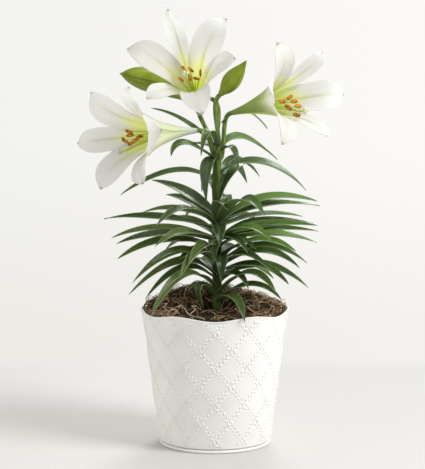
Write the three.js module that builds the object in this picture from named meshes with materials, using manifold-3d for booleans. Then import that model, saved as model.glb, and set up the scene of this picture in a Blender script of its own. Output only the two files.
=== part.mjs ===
// Potted easter lily: a tapered tin planter with a raised trellis, potting mix, a top dressing of
// moss, and one leafy stem that carries three open trumpet flowers and two closed buds.
// Millimetres, +Z up, +X to the viewer's right. The viewer looks along +Y.
// The origin is the centre of the planter's flat underside.

import * as THREE from 'three';
import Module from 'manifold-3d';

const wasm = await Module();
wasm.setup();

// Planter
const planterHeight = 153;
const rimRadius = 82.5;
const footRadius = 62.8;
const planterWall = 1.4;
const planterFloor = 1.5;
const beadHeight = 4;
const beadBulge = 0.8;
const beadRound = 0.8;
const footInset = 0.6;
const rimWaves = 6;
const rimWaveHeight = 2.2;
const rimFlare = 1.2;
const rimBand = 14;

// Raised trellis on the planter's side: lines that cross at the corners of upright diamonds
const trellisColumns = 13;
const trellisCell = 41.3;
const trellisLowCrossing = 14.9;
const trellisBottom = 6;
const trellisTop = 146;
const trellisHighRow = 7;
const sideSteps = 4;
const dashHeight = 1.2;
const crossingHeight = 0.7;
const dashGapHeight = 0.35;
const dashShift = 0.9;
const ridgeInset = 0.14;
const planterSides = 4 * trellisColumns;

// Potting mix and moss
const gap = 0.3;
const soilTop = 139;
const holeRadius = 6.4;
const mossEdge = 149.5;
const mossSides = 26;
const mossRings = 4;
const mossLump = 2;
const mossSeed = 11;
// Broad mounds, and a dip round the stem
const mossMounds = [
  { x: -40, y: 18, rise: 17, spread: 30 },
  { x: 0, y: 46, rise: 15, spread: 32 },
  { x: 44, y: 14, rise: 12, spread: 30 },
  { x: 0, y: -8, rise: -9, spread: 15.8 },
];

// Stem: centre line from inside the potting mix to the crown, as x, z and radius
const stemLine = [
  { x: 2, z: 96, radius: 5.2 },
  { x: 2, z: 142, radius: 5.4 },
  { x: 3, z: 250, radius: 5 },
  { x: 1, z: 293, radius: 4.6 },
  { x: 2.5, z: 321, radius: 4.6 },
  { x: 4, z: 327, radius: 6.4 },
  { x: 5, z: 332, radius: 6 },
  { x: 5, z: 337, radius: 3.6 },
];
const stemSides = 8;

// Leaves, one row each: height of the root, direction (degrees from +X, so -90 faces the viewer),
// reach and height of the crown of the arch, reach and height of the tip, width, and the turn that
// the leaf makes about its own length.
const leafRows = [
  [335, 35, 33, 346, 82, 320, 17, 25],
  [332, -50, 22, 336, 32, 313, 12, 0],
  [277, 58, 40, 317, 96, 298, 22, 32],
  [308, 8, 52, 319, 103, 287, 14, 32],
  [325, -135, 16, 313, 18, 276, 20, 0],
  [336, -130, 19, 355, 32, 328, 12, -10],
  [323, -155, 41, 342, 57, 328, 13, -30],
  [334, 140, 28, 340, 43, 338, 9, 0],
  [336, 165, 42, 366, 80, 380, 9, -25],
  [364, 20, 30, 377, 58, 357, 6, 20],
  [299, 180, 49, 309, 108, 283, 14, -25],
  [259, 130, 59, 283, 120, 293, 16, -25],
  [252, 125, 55, 271, 106, 276, 14, -20],
  [247, -130, 56, 271, 103, 256, 15, -15],
  [245, 176, 69, 257, 129, 255, 14, -25],
  [252, 140, 62, 263, 118, 255, 14, -20],
  [237, 120, 64, 249, 115, 245, 14, -20],
  [234, -172, 64, 246, 120, 236, 14, -25],
  [231, -160, 65, 241, 119, 232, 14, -30],
  [227, -125, 64, 246, 118, 234, 15, -20],
  [223, -165, 61, 233, 115, 214, 15, -32],
  [207, -145, 56, 222, 113, 192, 15, -25],
  [192, -155, 49, 209, 108, 176, 14, -30],
  [207, -115, 52, 223, 96, 200, 15, -15],
  [221, -112, 44, 230, 84, 214, 15, -15],
  [178, -135, 54, 196, 102, 156, 16, -20],
  [188, -165, 41, 200, 83, 168, 14, -25],
  [168, -150, 21, 184, 37, 176, 13, 0],
  [166, -130, 30, 182, 24, 157, 12, 0],
  [250, -60, 54, 281, 100, 268, 21, 10],
  [249, 6, 51, 278, 114, 275, 16, 30],
  [250, 14, 55, 270, 121, 268, 15, 22],
  [246, 25, 56, 258, 109, 254, 14, 15],
  [234, 15, 50, 251, 114, 248, 15, 22],
  [234, -8, 54, 249, 113, 250, 15, 30],
  [231, -15, 55, 245, 116, 245, 14, 22],
  [229, -50, 49, 250, 90, 239, 16, 20],
  [232, 40, 61, 239, 114, 227, 14, 15],
  [226, 8, 55, 238, 115, 227, 15, 28],
  [212, -35, 55, 235, 105, 226, 15, 20],
  [231, -62, 38, 238, 70, 225, 14, 10],
  [246, -86, 22, 248, 36, 229, 18, 0],
  [207, -12, 54, 226, 103, 208, 14, 25],
  [200, -28, 56, 222, 103, 206, 15, 25],
  [188, -50, 39, 219, 90, 207, 15, 20],
  [196, -38, 57, 207, 99, 190, 15, 20],
  [183, -18, 53, 205, 107, 182, 15, 30],
  [171, -40, 48, 198, 85, 179, 15, 20],
  [165, -35, 49, 184, 87, 171, 14, 20],
  [161, -70, 58, 173, 88, 151, 13, 5],
  [207, -82, 26, 215, 36, 190, 17, 0],
  [186, -50, 33, 196, 54, 182, 13, 15],
  [254, -74, 15, 276, 42, 269, 19, 8],
  [226, -100, 16, 232, 26, 208, 16, 0],
  [212, -150, 26, 222, 50, 212, 16, -15],
  [224, -30, 26, 234, 50, 224, 16, 15],
];

// Leaves on the far side follow the plant's spiral: a turn of 137.5 degrees from leaf to leaf.
const spiralTurn = 137.5;
const spiralLeaves = 46;
const spiralLow = 172;
const spiralHigh = 300;
const farSideFrom = 52;
const farSideTo = 128;
const farReachLow = 112;
const farReachHigh = 96;
const farCrownShare = 0.5;
const farArch = 16;
const farTipRise = [-6, 22, -26];
const farWidth = 15;
const farRoll = 15;

// Every leaf: thickness, fold along the midrib in degrees, distance of its root from the stem's
// middle, where it is widest, how wide it starts and ends, and how soon it has turned about its
// length
const leafThickness = 0.8;
const leafFold = 22;
const leafRoot = 2.4;
const leafWidest = 0.38;
const leafFootShare = 0.5;
const leafTipShare = 0.07;
const leafTaper = 0.85;
const rollDone = 0.4;
const longLeafSteps = 4;
const shortLeafSteps = 3;
const shortLeafReach = 86;

// Flowers: a tepal's middle line is a cubic curve in the plane of the flower's axis
const flowerFoot = 2.4;
const tubeHandle = [75, 6];
const innerFlareHandle = [143, 28];
const outerFlareHandle = [139, 33];
const tepalThickness = 0.9;
const whorlOffset = 0.7;
const whorlParts = 0.3;
const tepalCup = 60;
const marginWave = 1.4;
const marginTurns = 9;
const flareFrom = 0.55;
const flareTo = 0.85;
const tubeWrap = 0.92;
const tepalWidest = 0.66;
const tepalFootShare = 0.2;
const tepalTipShare = 0.05;
const tepalSwell = 1.2;
const tepalTaper = 1.6;
const tepalRows = [0.02, 0.28, 0.52, 0.66, 0.8, 0.92, 1];
const tepalColumns = [-1, -0.5, 0, 0.5, 1];
// Solid foot inside the tube, as distance along the flower's axis and radius
const receptacle = [[0, 2.5], [4, 2.8], [9, 3.1]];
const receptacleSides = 8;

// Root of the stalk, base, the flower's direction (azimuth, elevation), the first tepal's turn about
// the axis, and per tepal its tip's distance along the axis and out from it, its width, and how far it
// is turned from its even place. Tepals go round clockwise. Each anther has its distance along the
// axis, its distance out, its angle about the axis and the angle that it points to. The stigma is that
// far out from the axis, at that angle.
const flowers = {
  left: {
    root: [0, 0, 320], base: [-19, -6, 356], azimuth: -129, elevation: -1, roll: 38, innerFirst: true,
    tepals: [
      [134, 59, 32, 0], [137, 57, 31, 0], [132, 63, 38, 0],
      [137, 61, 30, 0], [135, 61, 32, 0], [134, 59, 27, 0],
    ],
    anthers: [
      [102, 12.4, 74, 70], [110, 12.3, 117, 57], [106, 10.3, 148, 120],
      [98, 14.2, 93, 95], [110, 7.1, 226, 121], [106, 6.8, 258, 110],
    ],
    antherTilt: 0.2, stigma: [19, 153],
  },
  top: {
    root: [1, -1, 325], base: [-17, -4, 373], azimuth: -97, elevation: 27, roll: 20, innerFirst: false,
    tepals: [
      [136, 64, 20, 0], [132, 64, 36, 0], [143, 54, 25, 8],
      [136, 67, 32, 0], [133, 58, 21, 0], [138, 62, 33, 0],
    ],
    anthers: [
      [107, 5.5, 50, 42], [105, 4.5, 325, 60], [105, 6, 198, 20],
      [102, 10, 238, 90], [102, 12.8, 278, 0], [99, 9.5, 120, 60],
    ],
    antherTilt: 0.7, stigma: [8.2, 170],
  },
  right: {
    root: [8.5, 0, 330], base: [18, 0, 375], azimuth: -55, elevation: 11, roll: 26, innerFirst: true,
    tepals: [
      [131, 59, 32, 0], [138, 51, 18, 0], [132, 55, 33, 0],
      [138, 54, 17, 0], [133, 66, 30, 0], [144, 53, 25, 0],
    ],
    anthers: [
      [103, 4.8, 270, 113], [107, 9, 234, 97], [105, 8.4, 124, 90],
      [106, 11.7, 176, 66], [108, 15.5, 226, 84], [112, 21.5, 193, 84],
    ],
    antherTilt: 0.2, stigma: [20.9, 211],
  },
};

// Stamens and pistil: the ovary and the stigma as distance along the flower's axis and radius
const ovary = [[9.3, 1.8], [14, 1.9], [34, 1.3]];
const ovarySides = 6;
const antherLength = 9.6;
const antherRadius = 1.65;
const antherGirth = [0.4, 1, 1, 0.4];
const antherSides = 5;
const antherSeat = 0.7;
const filamentRadius = 0.8;
const filamentFoot = 1.1;
const filamentSteps = 3;
const filamentSides = 3;
const threadRise = 70;
const threadEnd = 16;
const styleRadius = 1.1;
const styleSteps = 4;
const styleSides = 5;
const stigmaAt = 120;
const stigma = [[-4, 1.1], [-1, 2.6], [2, 2.1]];
const stigmaSides = 6;

// Flower stalks part in the knot at the crown and end 0.3 mm under each flower or bud
const stalkRadius = 2.5;
const stalkEndRadius = 2.7;
const stalkLean = 0.3;
const stalkReach = 26;
const stalkBend = 16;
const stalkSteps = 4;
const stalkSides = 6;
const stalkFlare = 6;

// Closed buds: root of the stalk, base, tip, bow of the middle line, largest radius and its share of
// that radius from base to tip
const buds = {
  left: {
    root: [2, 1, 330], base: [-4, 6, 391], tip: [-108.5, 30, 419], bow: 5, radius: 13.6,
    profile: [0.32, 0.6, 0.85, 0.95, 0.99, 1, 0.95, 0.66, 0.12],
  },
  right: {
    root: [5, -1, 333], base: [5, 0, 395], tip: [35, -22, 434], bow: -5, radius: 10.2,
    profile: [0.29, 0.42, 0.72, 0.93, 1, 0.9, 0.66, 0.34, 0.1],
  },
};
const budRib = 0.08;
const budSides = 9;

const radians = THREE.MathUtils.degToRad;
const up = new THREE.Vector3(0, 0, 1);

// Small repeatable draw between 0 and 1
function seededDraw(seed) {
  let state = seed;
  return () => {
    state = (state * 1103515245 + 12345) % 2147483648;
    return state / 2147483648;
  };
}

function solidFrom(points, faces) {
  const vertProperties = new Float32Array(points.flatMap((point) => [point.x, point.y, point.z]));
  const triVerts = new Uint32Array(faces);
  return new wasm.Manifold(new wasm.Mesh({ numProp: 3, vertProperties, triVerts }));
}

// A skin over rings of equal count, each going round counter-clockwise as seen from the next.
// The ends are closed flat, or joined to each other when the rings run in a loop.
function loft(rings, looped = false) {
  const count = rings[0].length;
  const points = rings.flat();
  const faces = [];
  const spans = looped ? rings.length : rings.length - 1;
  for (let i = 0; i < spans; i++) {
    const next = (i + 1) % rings.length;
    for (let j = 0; j < count; j++) {
      const k = (j + 1) % count;
      faces.push(i * count + j, i * count + k, next * count + k);
      faces.push(i * count + j, next * count + k, next * count + j);
    }
  }
  if (!looped) {
    const top = (rings.length - 1) * count;
    for (let j = 1; j < count - 1; j++) {
      faces.push(0, j + 1, j);
      faces.push(top, top + j, top + j + 1);
    }
  }
  return solidFrom(points, faces);
}

// The solids joined in one skin, with any hollow sealed between them filled
function fused(solids) {
  const skins = wasm.Manifold.union(solids).decompose();
  return skins.reduce((largest, skin) => (skin.volume() > largest.volume() ? skin : largest));
}

function ring(count, pointAt) {
  return Array.from({ length: count }, (_, j) => pointAt((2 * Math.PI * j) / count));
}

function polar(radius, angle, z) {
  return new THREE.Vector3(radius * Math.cos(angle), radius * Math.sin(angle), z);
}

// A round bar along a curve
function bar(curve, steps, sides, radiusAt) {
  const frames = curve.computeFrenetFrames(steps, false);
  const rings = [];
  for (let i = 0; i <= steps; i++) {
    const centre = curve.getPointAt(i / steps);
    const radius = radiusAt(i / steps);
    rings.push(ring(sides, (angle) => centre.clone()
      .addScaledVector(frames.normals[i], radius * Math.cos(angle))
      .addScaledVector(frames.binormals[i], radius * Math.sin(angle))));
  }
  return loft(rings);
}

// A thin sheet around a grid of middle points, split the same way on both faces
function blade(grid, thickness) {
  const rows = grid.length;
  const columns = grid[0].length;
  const upper = [];
  const lower = [];
  for (let i = 0; i < rows; i++) {
    for (let j = 0; j < columns; j++) {
      const across = grid[i][Math.min(j + 1, columns - 1)].clone().sub(grid[i][Math.max(j - 1, 0)]);
      const along = grid[Math.min(i + 1, rows - 1)][j].clone().sub(grid[Math.max(i - 1, 0)][j]);
      const normal = across.cross(along).normalize();
      upper.push(grid[i][j].clone().addScaledVector(normal, thickness / 2));
      lower.push(grid[i][j].clone().addScaledVector(normal, -thickness / 2));
    }
  }
  const under = rows * columns;
  const faces = [];
  const wall = (from, to) => faces.push(from, to, under + to, from, under + to, under + from);
  for (let i = 0; i < rows - 1; i++) {
    for (let j = 0; j < columns - 1; j++) {
      const a = i * columns + j;
      const b = a + 1;
      const c = b + columns;
      const d = a + columns;
      faces.push(a, b, c, a, c, d);
      faces.push(under + a, under + c, under + b, under + a, under + d, under + c);
    }
    wall(i * columns, (i + 1) * columns);
    wall((i + 2) * columns - 1, (i + 1) * columns - 1);
  }
  for (let j = 0; j < columns - 1; j++) {
    wall(j + 1, j);
    wall((rows - 1) * columns + j, (rows - 1) * columns + j + 1);
  }
  return solidFrom([...upper, ...lower], faces);
}

function named(name, solid, look) {
  const mesh = solid.getMesh();
  const positions = new Float32Array(mesh.numVert * 3);
  for (let i = 0; i < mesh.numVert; i++) {
    positions.set(mesh.vertProperties.subarray(i * mesh.numProp, i * mesh.numProp + 3), i * 3);
  }
  const geometry = new THREE.BufferGeometry();
  geometry.setAttribute('position', new THREE.BufferAttribute(positions, 3));
  geometry.setIndex(new THREE.BufferAttribute(mesh.triVerts, 1));
  geometry.computeVertexNormals();
  const node = new THREE.Mesh(geometry, new THREE.MeshStandardMaterial(look));
  node.name = name;
  return node;
}

const looks = {
  tin: { color: 0xf2efe8, roughness: 0.45, metalness: 0 },
  soil: { color: 0x2e211a, roughness: 0.95, metalness: 0 },
  moss: { color: 0x6a5139, roughness: 0.95, metalness: 0 },
  leaf: { color: 0x2f5c2a, roughness: 0.4, metalness: 0 },
  tepal: { color: 0xf6f6f0, roughness: 0.5, metalness: 0 },
  stamen: { color: 0xcfdc7e, roughness: 0.5, metalness: 0 },
  anther: { color: 0xd98a1e, roughness: 0.85, metalness: 0 },
  bud: { color: 0x93ad3c, roughness: 0.45, metalness: 0 },
};

function sideRadius(z) {
  return footRadius + ((rimRadius - footRadius) * z) / planterHeight;
}

// The planter is one closed skin: foot bead, trellis, a rim that dips at the front and at every
// sixth of a turn from there, then the plain inside down to the floor. On the trellis each diamond
// is a flat of four triangles inside a raised border, and each side of the border swells into
// dashes that lean left and right in turn.
function planter() {
  const halfTurn = Math.PI / trellisColumns;
  const front = -Math.PI / 2;
  const points = [];
  const faces = [];
  const addPoint = (radius, angle, z) => points.push(polar(radius, angle, z)) - 1;
  const addRing = (z, radius) => Array.from({ length: planterSides }, (_, j) => {
    const angle = front - halfTurn + (2 * Math.PI * j) / planterSides;
    const wave = z === planterHeight ? -Math.cos(rimWaves * (angle - front)) : 0;
    return addPoint(radius + rimFlare * wave, angle, z + rimWaveHeight * wave);
  });
  const stitch = (lower, upper) => lower.forEach((_, j) => {
    const k = (j + 1) % lower.length;
    faces.push(lower[j], lower[k], upper[k], lower[j], upper[k], upper[j]);
  });
  const rowHeight = (rise) => THREE.MathUtils.clamp(
    trellisLowCrossing + (rise * trellisCell) / 2,
    trellisBottom,
    trellisTop,
  );
  const onSide = (turn, rise, raise, shift) => {
    const z = rowHeight(rise);
    const radius = sideRadius(z);
    return addPoint(radius + raise, front + turn * halfTurn + shift / radius, z);
  };

  const crests = new Map();
  const crest = (turnSteps, riseSteps) => {
    const turn = THREE.MathUtils.euclideanModulo(turnSteps, 2 * trellisColumns * sideSteps);
    const key = `${turn} ${riseSteps}`;
    if (!crests.has(key)) {
      const along = THREE.MathUtils.euclideanModulo(riseSteps, sideSteps);
      const raise = [crossingHeight, dashHeight, dashGapHeight, dashHeight][along];
      const shift = [0, dashShift, 0, -dashShift][along];
      crests.set(key, onSide(turn / sideSteps, riseSteps / sideSteps, raise, shift));
    }
    return crests.get(key);
  };
  const corners = [[-1, 0], [0, -1], [1, 0], [0, 1]];
  const middle = sideSteps / 2;
  const lowEdge = [];
  const highEdge = [];
  for (let rise = -1; rise <= trellisHighRow; rise++) {
    for (let turn = 0; turn < 2 * trellisColumns; turn++) {
      if (Math.abs(turn + rise) % 2 === 0) {
        continue;
      }
      const centre = onSide(turn, rise, 0, 0);
      const inset = corners.map(([right, above]) => onSide(
        turn + right * (1 - ridgeInset),
        rise + above * (1 - ridgeInset),
        0,
        0,
      ));
      const cutEdge = { [-1]: lowEdge, [trellisHighRow]: highEdge }[rise];
      const sides = { [-1]: [2, 3], [trellisHighRow]: [0, 1] }[rise] ?? [0, 1, 2, 3];
      for (const side of sides) {
        const next = (side + 1) % 4;
        const border = Array.from({ length: sideSteps + 1 }, (_, i) => crest(
          turn * sideSteps + corners[side][0] * (sideSteps - i) + corners[next][0] * i,
          rise * sideSteps + corners[side][1] * (sideSteps - i) + corners[next][1] * i,
        ));
        faces.push(centre, inset[side], inset[next]);
        faces.push(inset[side], border[middle], inset[next]);
        for (let i = 0; i < sideSteps; i++) {
          faces.push(i < middle ? inset[side] : inset[next], border[i], border[i + 1]);
        }
      }
      cutEdge?.push(crest((turn - 1) * sideSteps, rise * sideSteps), inset[0], centre, inset[2]);
    }
  }

  const foot = [
    addRing(0, footRadius - footInset),
    addRing(beadRound, footRadius + beadBulge),
    addRing(beadHeight - beadRound, footRadius + beadBulge),
    addRing(beadHeight, sideRadius(beadHeight)),
    lowEdge,
  ];
  const mouth = [
    highEdge,
    addRing(planterHeight, rimRadius),
    addRing(planterHeight, rimRadius - planterWall),
    addRing(planterHeight - rimBand, sideRadius(planterHeight - rimBand) - planterWall),
    addRing(planterFloor, sideRadius(planterFloor) - planterWall),
  ];
  for (const loops of [foot, mouth]) {
    loops.slice(1).forEach((loop, i) => stitch(loops[i], loop));
  }
  for (let j = 1; j < planterSides - 1; j++) {
    faces.push(foot[0][0], foot[0][j + 1], foot[0][j]);
    faces.push(mouth[4][0], mouth[4][j], mouth[4][j + 1]);
  }
  return solidFrom(points, faces);
}

function stemCentre(z) {
  const level = Math.min(z, stemLine.at(-1).z);
  const upper = Math.max(stemLine.findIndex((point) => point.z >= level), 1);
  const high = stemLine[upper];
  const low = stemLine[upper - 1];
  return THREE.MathUtils.mapLinear(level, low.z, high.z, low.x, high.x);
}

// Potting mix up to just under the moss, with a plain hole for the stem
function pottingMix() {
  const bottom = planterFloor + gap;
  const wallAt = (z) => sideRadius(z) - planterWall - gap;
  const hole = (z) => ring(stemSides, (angle) => polar(holeRadius, angle, z)
    .add(new THREE.Vector3(stemCentre(z), 0, 0)));
  const side = (z) => ring(planterSides / 2, (angle) => polar(wallAt(z), angle, z));
  const block = loft([side(bottom), side(soilTop)]);
  const plug = loft([hole(stemLine[0].z - gap), hole(soilTop + 1)]);
  return block.subtract(plug);
}

function mossHeight(x, y) {
  let z = mossEdge;
  for (const mound of mossMounds) {
    const far = (x - mound.x) ** 2 + (y - mound.y) ** 2;
    z += mound.rise * Math.exp(-far / (2 * mound.spread ** 2));
  }
  return z;
}

// A tangled mound that fills the planter's mouth round the stem
function mossDressing() {
  const draw = seededDraw(mossSeed);
  const bottom = soilTop + gap;
  const wallRadius = sideRadius(soilTop) - planterWall - gap;
  const stemX = stemCentre(soilTop);
  const at = (share, angle) => {
    const inner = polar(holeRadius, angle, 0).add(new THREE.Vector3(stemX, 0, 0));
    return inner.lerp(polar(wallRadius, angle, 0), share);
  };
  const rings = [ring(mossSides, (angle) => at(1, angle).setZ(bottom))];
  for (let i = mossRings; i >= 0; i--) {
    rings.push(ring(mossSides, (angle) => {
      const point = at(i / mossRings, angle);
      const lump = (draw() - 0.5) * 2 * mossLump;
      return point.setZ(mossHeight(point.x, point.y) + lump);
    }));
  }
  rings.push(ring(mossSides, (angle) => at(0, angle).setZ(bottom)));
  return loft(rings, true);
}

function stem() {
  const rings = stemLine.map((point) => ring(stemSides, (angle) => polar(point.radius, angle, point.z)
    .add(new THREE.Vector3(point.x, 0, 0))));
  return loft(rings);
}

// A leaf's half width along its length, as a share of its greatest half width
function leafShare(t) {
  if (t < leafWidest) {
    const swell = Math.sin(((Math.PI / 2) * t) / leafWidest);
    return THREE.MathUtils.lerp(leafFootShare, 1, swell);
  }
  const taper = Math.cos(((Math.PI / 2) * (t - leafWidest)) / (1 - leafWidest));
  return Math.max(taper ** leafTaper, leafTipShare);
}

// A strap leaf that arches out from the stem through its crown to its tip, folded along its midrib
function leaf([rootZ, direction, crownReach, crownZ, tipReach, tipZ, width, roll]) {
  const angle = radians(direction);
  const outward = polar(1, angle, 0);
  const stemX = stemCentre(rootZ);
  const place = (reach, z) => outward.clone().multiplyScalar(reach).add(new THREE.Vector3(stemX, 0, z));
  const root = place(leafRoot, rootZ);
  const middle = place(crownReach, crownZ);
  const tip = place(tipReach, tipZ);
  const handle = middle.clone().multiplyScalar(2).sub(root.clone().add(tip).multiplyScalar(0.5));
  const curve = new THREE.QuadraticBezierCurve3(root, handle, tip);
  const level = polar(1, angle + Math.PI / 2, 0);
  const fold = radians(leafFold);
  const steps = tipReach > shortLeafReach ? longLeafSteps : shortLeafSteps;
  const grid = Array.from({ length: steps + 1 }, (_, i) => {
    const t = i / steps;
    const centre = curve.getPoint(t);
    const along = curve.getTangent(t);
    const turn = radians(roll) * THREE.MathUtils.smoothstep(t, 0, rollDone);
    const side = level.clone().applyAxisAngle(along, turn);
    const lift = along.clone().cross(side).normalize();
    const half = (width / 2) * leafShare(t);
    const margin = (sign) => centre.clone()
      .addScaledVector(side, -sign * half * Math.cos(fold))
      .addScaledVector(lift, half * Math.sin(fold));
    return [margin(-1), centre, margin(1)];
  });
  return blade(grid, leafThickness);
}

// The far side carries the same leaves, set by the spiral, long low down and shorter near the top
function farLeaves() {
  const rows = [];
  for (let i = 0; i < spiralLeaves; i++) {
    const direction = (i * spiralTurn) % 360;
    if (direction > farSideFrom && direction < farSideTo) {
      const share = i / (spiralLeaves - 1);
      const rootZ = Math.round(spiralLow + (spiralHigh - spiralLow) * share);
      const reach = Math.round(THREE.MathUtils.lerp(farReachLow, farReachHigh, share));
      const rise = Math.round(farTipRise[0] + farTipRise[1] * share + farTipRise[2] * share ** 2);
      const roll = ((i % 3) - 1) * farRoll;
      const middle = [reach * farCrownShare, rootZ + farArch];
      rows.push([rootZ, direction, ...middle, reach, rootZ + rise, farWidth, roll]);
    }
  }
  return rows;
}

// Axis of a flower and two directions across it, the first one upwards
function flowerFrame(flower) {
  const level = polar(Math.cos(radians(flower.elevation)), radians(flower.azimuth), 0);
  const axis = level.setZ(Math.sin(radians(flower.elevation)));
  const first = up.clone().addScaledVector(axis, -up.dot(axis)).normalize();
  const second = axis.clone().cross(first);
  const base = new THREE.Vector3(...flower.base);
  const outwardAt = (degrees) => first.clone().multiplyScalar(Math.cos(radians(degrees)))
    .addScaledVector(second, Math.sin(radians(degrees)));
  const pointAt = (distance, radius, degrees) => base.clone().addScaledVector(axis, distance)
    .addScaledVector(outwardAt(degrees), radius);
  return { base, axis, outwardAt, pointAt };
}

// Half width of a tepal along its middle line, as a share of its greatest half width
function tepalShare(t) {
  if (t < tepalWidest) {
    const swell = Math.sin((Math.PI / 2) * (t / tepalWidest) ** tepalSwell);
    return THREE.MathUtils.lerp(tepalFootShare, 1, swell);
  }
  const past = (t - tepalWidest) / (1 - tepalWidest);
  const taper = Math.cos((Math.PI / 2) * past ** tepalTaper);
  return Math.max(taper, tepalTipShare);
}

function tepal(flower, index) {
  const { base, axis, outwardAt } = flowerFrame(flower);
  const inner = (index % 2 === 0) === flower.innerFirst;
  const [tipAlong, tipOut, width, turn] = flower.tepals[index];
  const outward = outwardAt(flower.roll - 60 * index + turn);
  const sideways = axis.clone().cross(outward);
  const curve = new THREE.CubicBezierCurve(
    new THREE.Vector2(0, flowerFoot),
    new THREE.Vector2(...tubeHandle),
    new THREE.Vector2(...(inner ? innerFlareHandle : outerFlareHandle)),
    new THREE.Vector2(tipAlong, tipOut),
  );
  const grid = tepalRows.map((t) => {
    const middle = curve.getPoint(t);
    const tangent = curve.getTangent(t);
    const face = outward.clone().multiplyScalar(tangent.x).addScaledVector(axis, -tangent.y);
    const offset = (inner ? -whorlOffset : whorlOffset) * THREE.MathUtils.smoothstep(t, 0, whorlParts);
    const centre = base.clone().addScaledVector(axis, middle.x).addScaledVector(outward, middle.y)
      .addScaledVector(face, offset);
    const open = THREE.MathUtils.smoothstep(t, flareFrom, flareTo);
    const bow = 1 / THREE.MathUtils.lerp(1 / (middle.y + offset), 1 / tepalCup, open);
    const half = Math.min((width / 2) * tepalShare(t), bow * tubeWrap);
    return tepalColumns.map((column) => {
      const reach = (column * half) / bow;
      const phase = marginTurns * t + index * 2 + column;
      const wave = open * marginWave * Math.abs(column) * Math.sin(phase);
      return centre.clone().addScaledVector(sideways, -bow * Math.sin(reach))
        .addScaledVector(face, -bow * (1 - Math.cos(reach)) + wave);
    });
  });
  return blade(grid, tepalThickness);
}

function bloom(flower) {
  const { pointAt } = flowerFrame(flower);
  const foot = loft(receptacle.map(([distance, radius]) => ring(receptacleSides, (angle) => pointAt(
    distance,
    radius,
    THREE.MathUtils.radToDeg(angle),
  ))));
  const tepals = flower.tepals.map((_, index) => tepal(flower, index));
  return fused([foot, ...tepals]);
}

// An anther's middle, the direction that it points in and the direction from its seat to it
function antherPlace(flower, index) {
  const [along, radius, degrees, pointing] = flower.anthers[index];
  const { axis, outwardAt, pointAt } = flowerFrame(flower);
  const lean = outwardAt(pointing).addScaledVector(axis, flower.antherTilt).normalize();
  const over = axis.clone().addScaledVector(lean, -axis.dot(lean)).normalize();
  return { centre: pointAt(along, radius, degrees), lean, over };
}

// A thread from the ovary's foot that leans out to its tip
function thread(flower, radius, degrees, tip) {
  const { axis, pointAt } = flowerFrame(flower);
  const root = pointAt(ovary[0][0] + 1, radius, degrees);
  return new THREE.CubicBezierCurve3(
    root,
    root.clone().addScaledVector(axis, threadRise),
    tip.clone().addScaledVector(axis, -threadEnd),
    tip,
  );
}

function stamens(flower) {
  const { axis, pointAt } = flowerFrame(flower);
  const foot = loft(ovary.map(([distance, radius]) => ring(ovarySides, (angle) => pointAt(
    distance,
    radius,
    THREE.MathUtils.radToDeg(angle),
  ))));
  const threads = flower.anthers.map(([, , degrees], index) => {
    const { centre, over } = antherPlace(flower, index);
    const tip = centre.addScaledVector(over, -antherRadius - antherSeat);
    const curve = thread(flower, filamentFoot, degrees, tip);
    return bar(curve, filamentSteps, filamentSides, () => filamentRadius);
  });
  const styleTip = pointAt(stigmaAt, flower.stigma[0], flower.stigma[1]);
  const style = bar(thread(flower, 0, 0, styleTip), styleSteps, styleSides, () => styleRadius);
  const [low, , high] = stigma.map(([distance]) => styleTip.clone().addScaledVector(axis, distance));
  const stigmaLine = new THREE.LineCurve3(low, high);
  const rings = stigma.length - 1;
  const head = bar(stigmaLine, rings, stigmaSides, (t) => stigma[Math.round(t * rings)][1]);
  return fused([foot, style, head, ...threads]);
}

// An anther balances across its filament's tip
function anther(flower, index) {
  const { centre, lean } = antherPlace(flower, index);
  const end = (sign) => centre.clone().addScaledVector(lean, (sign * antherLength) / 2);
  const curve = new THREE.LineCurve3(end(-1), end(1));
  const rings = antherGirth.length - 1;
  return bar(curve, rings, antherSides, (t) => antherRadius * antherGirth[Math.round(t * rings)]);
}

function budCurve(bud) {
  const base = new THREE.Vector3(...bud.base);
  const tip = new THREE.Vector3(...bud.tip);
  const middle = base.clone().lerp(tip, 0.5).addScaledVector(up, bud.bow);
  return new THREE.QuadraticBezierCurve3(base, middle, tip);
}

// A closed bud, swollen past the middle, with three shallow ribs where its outer tepals meet
function closedBud(bud) {
  const curve = budCurve(bud);
  const steps = bud.profile.length - 1;
  const frames = curve.computeFrenetFrames(steps, false);
  const rings = bud.profile.map((share, i) => ring(budSides, (angle) => {
    const radius = bud.radius * share * (1 + budRib * Math.cos(3 * angle));
    return curve.getPointAt(i / steps)
      .addScaledVector(frames.normals[i], radius * Math.cos(angle))
      .addScaledVector(frames.binormals[i], radius * Math.sin(angle));
  }));
  return loft(rings);
}

// A stalk rises from the crown's knot and turns into the direction of what it carries
function stalk({ root: [x, y, z] }, end, heading) {
  const tip = end.clone().addScaledVector(heading, -gap);
  const root = new THREE.Vector3(x, y, z);
  const lean = tip.clone().sub(root).setZ(0).multiplyScalar(stalkLean);
  const curve = new THREE.CubicBezierCurve3(
    root,
    root.clone().add(lean).addScaledVector(up, stalkReach),
    tip.clone().addScaledVector(heading, -stalkBend),
    tip,
  );
  const radiusAt = (t) => THREE.MathUtils.lerp(stalkRadius, stalkEndRadius, t ** stalkFlare);
  return bar(curve, stalkSteps, stalkSides, radiusAt);
}

function leafyStem() {
  const stalks = [
    ...Object.values(flowers).map((flower) => stalk(
      flower,
      new THREE.Vector3(...flower.base),
      flowerFrame(flower).axis,
    )),
    ...Object.values(buds).map((bud) => stalk(
      bud,
      new THREE.Vector3(...bud.base),
      budCurve(bud).getTangent(0),
    )),
  ];
  const leaves = [...leafRows, ...farLeaves()].map(leaf);
  return fused([stem(), ...stalks, ...leaves]);
}

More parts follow.
